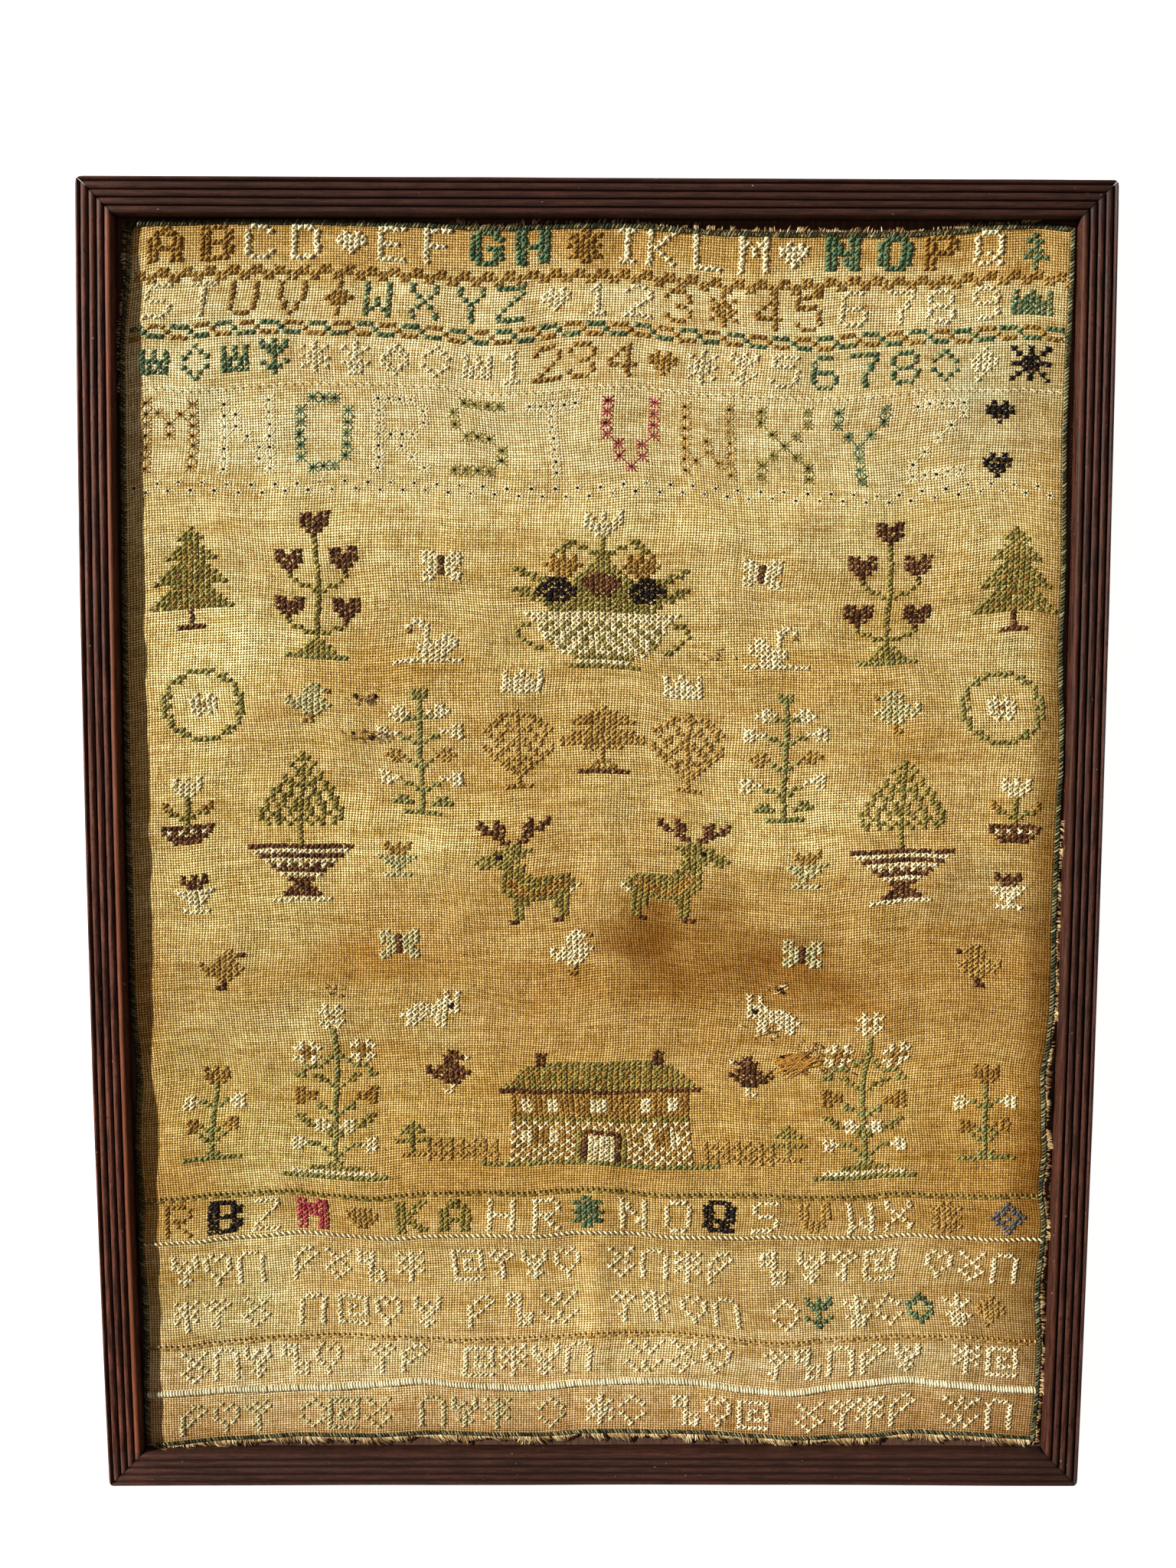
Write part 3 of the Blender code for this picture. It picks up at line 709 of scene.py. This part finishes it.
def layCrosses():
    # each charted stitch is two strands between its cell's corners, the second over the first;
    # capitals stand for heavier stitches, T for gold ones
    for mark in np.unique(chart):
        if mark == ".":
            continue
        row, column = np.nonzero(chart == mark)
        plump = cross["plump"] if mark in "CGT" else 1.0
        key = "y" if mark == "T" else mark.lower()
        low = np.stack([cloth["stitch"] * column + 1, threadAt(row + 1)], -1).astype(float)
        low += normal(0, 0.07 * plump ** 2, low.shape)
        wide = cross["wide"].get(key, cross["usual"]) * plump * normal(1, cross["uneven"], len(low))
        for first, last, lift in (([0.05, 1.95], [1.95, 0.05], 0.17), ([0.05, 0.05], [1.95, 1.95], 0.3)):
            lean = normal(0, cross["lean"], (len(low), 2))
            rise = lift * plump * normal(1, 0.12, len(low))
            lay(key, low + first + lean, low + last + lean, wide, rise)


holes = []

eyelet = {
    "hole": 0.42,        # radius of the opening, in threads
    "inner": 0.55,       # where the spokes end, in threads from the middle
    "radius": 0.24,
    "lift": -0.02,
}


def layEyelet(key, u, v, wideU, wideV, spokes=8):
    # spokes from a square's edge into the hole at its middle
    turn = np.arange(spokes) * full / spokes
    out = np.stack([np.cos(turn), np.sin(turn)], -1)
    square = out / np.abs(out).max(1, keepdims=True) * [wideU, wideV] * normal(1, 0.07, (spokes, 1))
    centre = np.array([u, v]) + normal(0, 0.12, 2)
    lay(key, centre + square, centre + out * eyelet["inner"], eyelet["radius"], eyelet["lift"])
    holes.append((*centre, eyelet["hole"] * uniform(0.6, 1.4)))


def layEyeletLetters():
    # big letters whose strokes are rows of eyelets, about four threads apart each way
    top, pitch, gap, at = 35.7, 2.24, 3.4, 3.0
    for mark, key in zip("MNORSTVWXYZ", "ycgcocrtogc"):
        rows = motif(mark)
        for k, line in enumerate(rows):
            for j, cell in enumerate(line):
                if cell == "X":
                    layEyelet(key, 2 * (at + 2 * j) + 3, threadAt(top + pitch * k), 1.85, 2.0)
        at += 2 * len(rows[0]) + gap


def layZigzag():
    # a row of small eyelets going up and down
    row, rise, pitch = 52.3, 1.5, 4.04
    for k in range(80):
        layEyelet("c", 5 + k * pitch, threadAt(row + rise * (k % 2)), 1.3, 1.4, 6)


def layLine(key, row, pitch, tall, slant, radius, lift, waver=0.0):
    # a line of strands side by side right across, each tall rows high and leaning by slant threads
    u = np.arange(1.5, cloth["warps"] - 1.5, pitch)
    u = u + normal(0, 0.08, len(u))
    shift = waver * np.sin(full * u / 83) + normal(0, 0.08, len(u))
    v = threadAt(row) + shift
    radius = radius * normal(1, 0.1, len(u))
    lay(key, np.stack([u, v], -1), np.stack([u + slant, v - cloth["stitch"] * tall], -1), radius, lift)


layCrosses()
layEyeletLetters()
layZigzag()
layLine("c", 32.6, 3.0, 0.6, 2.4, 0.2, 0.25)
layLine("o", 201.1, 2.0, 0.8, 0.1, 0.26, 0.3)
layLine("o", 202.1, 4.0, 0.02, 3.8, 0.2, 0.25)
layLine("c", 210.7, 2.0, 0.65, 1.9, 0.34, 0.4)
layLine("t", 233.1, 2.0, 0.65, 0.2, 0.26, 0.28)
layLine("t", 234.1, 4.0, 0.02, 3.8, 0.2, 0.22)
layLine("e", 243.6, 1.05, 1.6, 0.5, 0.36, 0.55, waver=0.8)


def threadFinish(key):
    # twisted silk and wool, each strand a little lighter or darker, fading in patches
    name, dark, light = threadTones[key]
    paint = Paint(name.replace("_", " ") + " thread", 0.66, Specular_IOR_Level=0.15)
    place = paint.place()
    share = paint.attribute("tone", "Fac") + (paint.noise(place, 70, 3.0) - 0.5) * 0.8
    strand = paint.noise(place, 3200, 1.0)
    paint.link(paint.blend((share + (strand - 0.5) * 0.5).slope(), tone(*dark), tone(*light)))
    paint.bump(strand, 0.0001, 0.7)
    return paint


def makeStitches(key):
    # every strand bows up between its two ends, which dip under the cloth
    rows = np.concatenate(laid[key])
    share = np.array([0.0, 0.28, 0.72, 1.0])
    arch = np.array([-0.45, 1.0, 1.0, -0.45])
    start, end = rows[:, None, 0:2], rows[:, None, 2:4]
    counts = start + (end - start) * share[:, None]
    paths = onCloth(counts[..., 0], counts[..., 1], rows[:, 5:6] * arch)
    radius = rows[:, 4:5] * [0.75, 1.0, 1.0, 0.75]
    return makeThreads("stitches_" + threadTones[key][0], paths, radius, 1.2,
                       normal(0.5, 0.2, len(rows)), threadFinish(key), "aged_linen")


sewn = [makeStitches(key) for key in laid]
print("stitches laid", len(sewn), "threads")

# holes in the worn places: x, y, size
tornHoles = (
    (62.6, -69.7, 0.7), (63.8, -68.8, 0.8), (65.2, -68.4, 0.9), (66.8, -68.3, 0.8), (68.3, -68.2, 0.9),
    (69.9, -67.9, 0.8), (71.3, -68.1, 0.9), (72.6, -68.9, 0.8), (73.6, -70.1, 0.6), (64.6, -71.1, 0.8),
    (67.0, -71.7, 0.7), (69.6, -70.9, 0.8), (71.6, -71.7, 0.7), (65.8, -73.1, 0.6), (69.0, -73.4, 0.6),
    (-78.0, 52.6, 0.9), (-74.5, 51.5, 0.7), (-71.5, 53.0, 0.8), (-79.0, 39.5, 0.7), (-73.0, 38.6, 0.9),
    (62.0, -45.5, 0.9), (63.4, -46.4, 0.7), (40.5, 66.0, 0.5),
)
threadStep = {"torn": 0.935, "across": 0.94, "up": 0.8}     # mm from one thread to the next


def makeHoles():
    # dark openings at the middles of the eyelets and in the worn places, coloured as the board seen through
    # them and darkened with painted shade
    rows = np.array(holes)
    turn = np.arange(8) * full / 8
    u = rows[:, 0:1] + rows[:, 2:3] * np.cos(turn) / threadStep["across"]
    v = rows[:, 1:2] + rows[:, 2:3] * np.sin(turn) / threadStep["up"]
    points = onCloth(u, v, 0.1).reshape(-1, 3)
    paint = Paint("dark opening", 1.0, Specular_IOR_Level=0.0)
    # painted shade: the openings much darker than the board seen through them
    paint.link(paint.blend(paint.noise(paint.place(), 900), (0.012, 0.006, 0.003), (0.03, 0.016, 0.008)))
    return makePiece("eyelet_holes", points, [np.arange(len(points)).reshape(-1, 8)], paint, "aged_linen")


for tornX, tornY, size in tornHoles:
    u, v = cloth["warps"] / 2 + tornX / threadStep["torn"], cloth["wefts"] / 2 + tornY / threadStep["up"]
    holes.append((u, v, size))
sewn.append(makeHoles())

edging = {
    "inset": 0.9,        # the hem's middle, in from the cloth's edge
    "corner": 2.2,       # how far short of the rails' corner threads end
    "half": {"left": 0.95, "right": 0.75, "top": 1.0, "bottom": 0.62},
    "tone": {"left": 0.16, "right": 0.36, "top": 0.14, "bottom": 0.36},
    "pitch": 1.12,
    "slant": 0.62,
    "radius": 0.25,
    "lift": 0.5,
}


def edgeLimit(side):
    return sideSize(side)[0] / 2 - moulding["face"] - edging["corner"]


def edgePath(side, along, inside):
    # x and y, from the frame's middle, of places a little inside the cloth's edge
    along = np.clip(along, -edgeLimit(side), edgeLimit(side))
    return sidePlan(side, along, edgeAt(side, along) - inside)


def makeHem():
    # overcast stitches slanting over the rolled edge on all four sides
    paths, widths, tones = [], [], []
    across = np.array([-1.0, -0.6, 0.0, 0.6, 1.0])
    arch = np.array([-0.7, 0.7, 1.0, 0.55, -0.4])
    for side in ("left", "right", "top", "bottom"):
        limit = edgeLimit(side) - 0.2
        at = np.arange(-limit, limit, edging["pitch"])
        at = at + normal(0, 0.12, len(at))
        half = edging["half"][side] * normal(1, 0.09, (len(at), 1))
        along = at[:, None] + edging["slant"] * across + normal(0, 0.1, (len(at), 1))
        x, y = edgePath(side, along, edging["inset"] + half * across[::-1])
        paths.append(overCloth(x, y, edging["lift"] * arch))
        widths.append(edging["radius"] * normal(1, 0.1, (len(at), 1)))
        tones.append(normal(edging["tone"][side], 0.24, len(at)))
    paths, widths, tones = (np.concatenate(rows) for rows in (paths, widths, tones))
    return makeThreads("hem_overcast", paths, widths, 1.1, tones, threadFinish("h"), "aged_linen")


sewn.append(makeHem())

# where threads have ravelled out: side, start, end, longest, number, lean, thickest, sag, tone
fraying = (
    ("bottom", -151, 152, 3.4, 1500, 0.55, 0.2, 1.0, 0.5),
    ("right", -205, 12, 2.9, 900, -0.12, 0.27, 0.35, 0.36),
    ("top", -48, 142, 2.4, 330, 0.3, 0.2, 0.6, 0.5),
    ("left", 150, 203, 2.2, 110, 0.2, 0.2, 0.6, 0.5),
)


def frayFinish():
    paint = Paint("frayed thread ends", 0.85)
    share = paint.attribute("tone", "Fac")
    dull = paint.blend((share * 2).slope(), tone(98, 70, 36), tone(178, 146, 94))
    paint.link(paint.blend((share * 2 - 1).slope(), dull, tone(240, 226, 182)))
    return paint


def makeFray(side, start, end, longest, count, tilt, thick, sag, mean, finish):
    # ravelled ends run out from under the hem in uneven clumps, leaning and curling down on to the board
    at = np.sort(uniform(start, end, count))
    clump = 0.68 + 0.24 * np.sin(at / 4.3) + 0.2 * np.sin(at / 1.7 + 2) + 0.15 * np.sin(at / 0.8)
    length = longest * np.clip(clump * uniform(0.6, 1.1, count), 0.2, 1.1)
    lean = tilt * (1 + 0.8 * np.sin(at / 3.1)) + normal(0, 0.22, count)
    step = np.array([0.0, 0.35, 0.7, 1.0])
    out = length[:, None] * step
    along = at[:, None] + lean[:, None] * length[:, None] * step ** 1.4
    room = np.maximum(roomAt(side, at), 0.5)[:, None] + 0.2
    over = np.maximum(out - room, 0)
    out = np.minimum(out, room)
    paths = overCloth(*edgePath(side, along, 0.15 - out), 0)
    drop = np.clip(out / np.maximum(room, 2.5), 0, 1)
    z = paths[..., 2] - 0.15 - sag * drop * uniform(0.3, 1.3, (count, 1))
    paths[..., 2] = np.maximum(z + over * 0.8 + 0.3 * np.sin(step * 3.1), boardTop + 0.25)
    widths = uniform(0.12, thick, (count, 1)) * [1, 1, 0.9, 0.6]
    tones = np.clip(mean + 0.2 * np.sin(at / 2.3) + normal(0, 0.22, count), 0, 1)
    piece = makeThreads(f"frayed_{side}_ends", paths, widths, 1.0, tones, finish, "frayed_linen")
    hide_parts(f"frayed_{side}")
    return piece


fray = frayFinish()
sewn += [makeFray(*row, fray) for row in fraying]
print("hem and frayed ends laid")

# worn places where broken threads stand up: x, y, half width and height, number of threads, palest tone
tangles = (
    (-75, 52, 6, 2.2, 26, 0.5), (-75, 39, 8, 2.6, 30, 0.5), (73, -66, 5, 3.0, 26, 0.9),
    (58, -60, 8, 2.5, 18, 0.9), (62, -45, 3, 2, 14, 0.9), (-88, -46, 3, 1.6, 10, 0.4),
    (80, -72, 6, 2.0, 12, 0.8), (38, 66, 5, 2, 10, 0.8),
)

# the big hole: its middle, half width and height, and the loose threads lying over it
tear = {"x": 68.0, "y": -70.5, "halfX": 6.5, "halfY": 2.4, "threads": 44, "radius": 0.2}


def makeTangles(finish):
    # each broken thread is a short curl that starts and ends in the cloth
    paths, tones = [], []
    share = np.linspace(0, 1, 8)
    for x, y, halfX, halfY, count, palest in tangles:
        start = np.array([x, y]) + normal(0, 0.5, (count, 2)) * [halfX, halfY]
        heading = uniform(0, full, (count, 1)) + normal(0, 1.2, (count, 1)) * share
        reach = uniform(1.0, 3.4, (count, 1)) / 7
        px = start[:, :1] + np.cumsum(np.cos(heading), 1) * reach
        py = start[:, 1:] + np.cumsum(np.sin(heading), 1) * reach * 0.7
        height = uniform(0.3, 1.0, (count, 1)) * np.sin(share * math.pi) - 0.1
        paths.append(overCloth(px, py, height))
        tones.append(uniform(0.0, palest, count))
    paths, tones = np.concatenate(paths), np.concatenate(tones)
    widths = uniform(0.1, 0.17, (len(paths), 1))
    return makeThreads("torn_threads", paths, widths, 1.0, tones, finish, "frayed_linen")


def makeTear():
    # loose ochre threads sweep side by side over the hole, rising to the right: y = level (1 - x^2) + x
    size, share = (tear["threads"], 1), np.linspace(-1, 1, 12)
    level = uniform(-1, 1, size)
    x = tear["x"] + tear["halfX"] * share * uniform(0.25, 0.9, size) + normal(0, 2.0, size)
    bend = 0.35 * np.sin(3 * share + uniform(0, full, size)) + normal(0.5, 0.8, size) * share
    y = tear["y"] + tear["halfY"] * (level * (1 - 0.4 * share ** 2) + bend)
    paths = overCloth(x, y, 0.15 + 0.6 * (1 - share ** 2) * uniform(0.2, 1, size))
    widths = tear["radius"] * uniform(0.5, 1.1, size)
    tones = uniform(0.1, 1, tear["threads"])
    return makeThreads("torn_mat", paths, widths, 1.2, tones, threadFinish("d"), "frayed_linen")


sewn += [makeTangles(fray), makeTear()]


def reedProfile():
    # the moulding's section from its outer foot over five half-round reeds to the inner wall:
    # inward, height, and how dark each point is painted, for dirt and painted shade down in the grooves and
    # the inner wall
    depth, first, pitch = moulding["depth"], moulding["firstGroove"], moulding["pitch"]
    drop, floorAt = moulding["edgeDrop"], moulding["depth"] - moulding["rise"]
    turn = np.linspace(0, math.pi / 2, 7)
    rows = [(0.0, 0.0, 0.0), (0.0, 7.0, 0.0)]
    rows += list(zip(first / 2 * (1 - np.cos(turn)), depth - drop * (1 - np.sin(turn)), 0 * turn))
    rows.append((first - moulding["groove"] * 1.3, depth - moulding["rise"] * 0.33, 0.4))
    arc = np.radians([158, 145, 128, 108, 90, 72, 52, 35, 22])
    for reed in range(moulding["reeds"] - 1):
        start = first + reed * pitch
        rows.append((start, floorAt - 0.12, 1.0))
        across = start + pitch / 2 + (pitch / 2 - moulding["groove"] / 2) * np.cos(arc)
        high = floorAt + moulding["rise"] * np.sin(arc)
        # dirt and painted shade: darkest at the groove bottoms
        rows += list(zip(across, high, np.clip(1.32 - 1.6 * np.sin(arc), 0, 1)))
    face = moulding["face"]
    # dirt and painted shade, darker down the inner wall
    rows += [(face, floorAt - 0.1, 0.3), (face, 13.0, 0.35), (face, moulding["ledge"] + 0.7, 0.6),
             (face, moulding["ledge"], 1.0), (moulding["rebate"], moulding["ledge"], 1.0),
             (moulding["rebate"], 0.0, 0.5)]
    return np.array(rows, float)


def woodFinish():
    # reddish-brown varnished hardwood: grain along the rail, black dirt and painted shade in the grooves
    # and down the inner wall, painted light on the inmost reed, a painted grey sheen on the top and bottom
    # rails, small pale nicks
    paint = Paint("reeded hardwood", 0.5, Specular_IOR_Level=0.16)
    across, along, high = paint.attribute("grain").parts()
    dirtShadeAndLight = paint.attribute("groove", "Fac")
    fine = paint.noise(paint.vector(across * 1.6, along * 0.1, high * 1.6), 1.0, 4.0)
    broad = paint.noise(paint.vector(across * 0.12, along * 0.02, high * 0.12), 1.0, 3.0)
    pores = paint.noise(paint.vector(across * 6, along * 0.5, high * 6), 1.0, 2.0)
    grain = ((fine - 0.5) * 1.5 + (broad - 0.5) * 0.5 + 0.5).slope(0.15, 0.85)
    color = paint.blend(grain, tone(43, 22, 16), tone(104, 60, 45))
    color = paint.blend(pores.slope(0.3, 0.48), tone(28, 11, 7), color)
    # dirt and painted shade: near black down in the grooves and on the inner wall
    color = paint.blend((dirtShadeAndLight + (fine - 0.5) * 0.3).slope(0.45, 0.95), color, tone(7, 3, 2))
    px, py, _ = paint.place().parts()
    # painted light and rubbing: the inmost reed lighter, by the amount set for each side
    color = paint.blend((0 - dirtShadeAndLight).slope(0.1, 1.0) * 0.75, color, tone(150, 84, 50))
    # painted reflection: the top and bottom rails greyer, for the sky's sheen along their reeds
    color = paint.blend(py.size().slope(0.204, 0.2055) * 0.5, color, tone(66, 46, 42))
    # the left rail lighter and the right rail darker than the top and bottom ones
    sideBrightness = px.slope(-0.162, -0.135, 1.12, 0.7) * px.slope(0.12, 0.16, 1.0, 0.8)
    color = paint.tint(color, paint.vector(sideBrightness, sideBrightness, sideBrightness))
    spots = paint.noise(paint.vector(across * 0.9, along * 0.45, high * 0.9), 1.0, 3.0)
    paint.link(paint.blend(spots.slope(0.735, 0.77), color, tone(176, 136, 104)))
    paint.link(fine.slope(0.2, 0.8, 0.46, 0.64), "Roughness")
    paint.bump(fine * 0.6 + pores * 0.4 + spots * 0.5, 0.00025, 0.5)
    return paint


def makeRail(side, paint):
    # the section carried along the side, its ends mitred, the outer corner rounded over by wear
    inward, high, dirtShadeAndLight = reedProfile().T
    length, wide = sideSize(side)
    turns = np.radians([45, 55, 65, 78, 90])
    arcAlong = moulding["corner"] * (1 - np.cos(turns))
    arcInset = moulding["corner"] * (1 - np.sin(turns))
    inset = np.maximum(inward[None, :], arcInset[:, None])
    straight = 1 - 4 * moulding["bow"][side] / length
    endAlong = inset * straight + (arcAlong - arcInset)[:, None] + moulding["joint"] * math.sqrt(0.5)
    share = np.linspace(0, 1, 58)[1:-1, None]
    centre = inward + (length - 2 * inward) * share
    along = np.concatenate([endAlong, centre, length - endAlong[::-1]])
    depth = np.concatenate([inset, np.broadcast_to(inward, centre.shape), inset[::-1]])
    depth = depth - bowAt(side, along - length / 2)
    worn = 0.1 * np.exp(-np.minimum(along, length - along) / 9) * (high > 14)
    ripple = 0.05 * np.sin(along / 31 + inward * 1.7) + 0.04 * np.sin(along / 13 + inward * 3.1)
    x, y = sidePlan(side, along - length / 2, wide / 2 - depth - ripple * (high > 1) * (inward > 0.2))
    height = np.broadcast_to(high, along.shape) - worn
    points = np.stack([x + middle[0], y + middle[1], height], -1)
    k = np.arange(along.size).reshape(along.shape)
    faces, ends = ringFaces(k), [k[0][None, ::-1], k[-1][None]]
    if side in ("left", "bottom"):
        faces, ends = faces[:, ::-1], [end[:, ::-1] for end in ends]
    fibre = np.stack([np.broadcast_to(inward, along.shape), along, height], -1) + uniform(0, 90, 3)
    innermost = (inward > moulding["face"] - moulding["pitch"] + 0.3) & (dirtShadeAndLight < 0.2)
    # painted light and rubbing: the inmost reed's crest marked to be painted lighter
    dirtShadeAndLight = np.where(innermost, -moulding["worn"][side], dirtShadeAndLight)
    fromEnd = np.minimum(along - endAlong[0], length - endAlong[0] - along)
    railDirtShadeAndLight = np.clip(np.broadcast_to(dirtShadeAndLight, along.shape) + 0.9 * np.exp(-fromEnd / 0.35), -1, 1)
    piece = makePiece(f"{side}_rail_reeded", points.reshape(-1, 3), [faces, *ends], paint,
                      "reeded_mahogany", groove=railDirtShadeAndLight, grain=fibre)
    piece.data.set_sharp_from_angle(angle=math.radians(50))
    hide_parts(f"rail_{side}")
    return piece


wood = woodFinish()
rails = [makeRail(side, wood) for side in ("left", "right", "top", "bottom")]
print("rails reeded", len(rails[0].data.polygons))

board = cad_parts["backing_board"]
plain = Paint("old board", 0.85)
stretched = {0: plain.place(), 1: (900.0, 30.0, 900.0)}
fibres = plain.node("ShaderNodeVectorMath", {"operation": "MULTIPLY"}, stretched)
fibres = plain.noise(fibres, 1.0, 4.0)
plain.link(plain.blend(fibres.slope(0.3, 0.7), tone(58, 34, 22), tone(92, 60, 42)))
plain.bump(fibres, 0.0003, 0.5)
board.data.materials.clear()
board.data.materials.append(plain.material)


def makeStage():
    # a plain white surface, the hard low sun from the left and a weak even sky
    mesh = bpy.data.meshes.new("white surface")
    corners = [(-1, -1, 0), (1, -1, 0), (1, 1, 0), (-1, 1, 0)]
    mesh.from_pydata(np.array(corners) * light["surface"], [], [(0, 1, 2, 3)])
    white = Paint("white surface", 1.0, Base_Color=(0.5, 0.5, 0.5, 1), Emission_Color=(1, 1, 1, 1),
                  Emission_Strength=light["glow"])
    mesh.materials.append(white.material)
    surface = addObject("white_surface", mesh)

    data = bpy.data.lights.new("sun", "SUN")
    data.energy = light["sun"]
    data.angle = math.radians(light["softness"])
    data.color = light["color"]
    sun = addObject("sun", data)
    travel = np.array(light["travel"]) / np.linalg.norm(light["travel"])
    sun.rotation_euler = (math.acos(-travel[2]), 0, math.atan2(-travel[0], travel[1]))

    world = bpy.data.worlds.new("weak sky")
    world.use_nodes = True
    sky = world.node_tree.nodes["Background"]
    sky.inputs[0].default_value = (*light["sky"], 1)
    sky.inputs[1].default_value = light["fill"]
    bpy.context.scene.world = world

    camera = addObject("camera", bpy.data.cameras.new("camera"))
    camera.data.lens, camera.data.sensor_width = view["lens"], view["sensor"]
    camera.location = (np.array(view["place"]) + [middle[0], 0, 0]) * mm
    camera.rotation_euler = np.radians(view["turns"])
    bpy.context.scene.camera = camera
    bpy.context.scene.view_settings.view_transform = "Standard"


light = {
    "surface": 3,        # half the white surface's width, in m
    "glow": 0.94,
    "travel": (1.93, -0.55, -1.0),
    "sun": 6.9,
    "softness": 1.2,
    "color": (1.0, 0.96, 0.89),
    "sky": (1.0, 0.79, 0.72),
    "fill": 0.19,
}
view = {
    "lens": 35.16,
    "sensor": 36,
    "place": (-5.2, 68.6, 516.0),        # in mm, from the frame's middle
    "turns": (-5.079, -0.276, 0.15),     # in degrees
}
makeStage()
print("stage set")
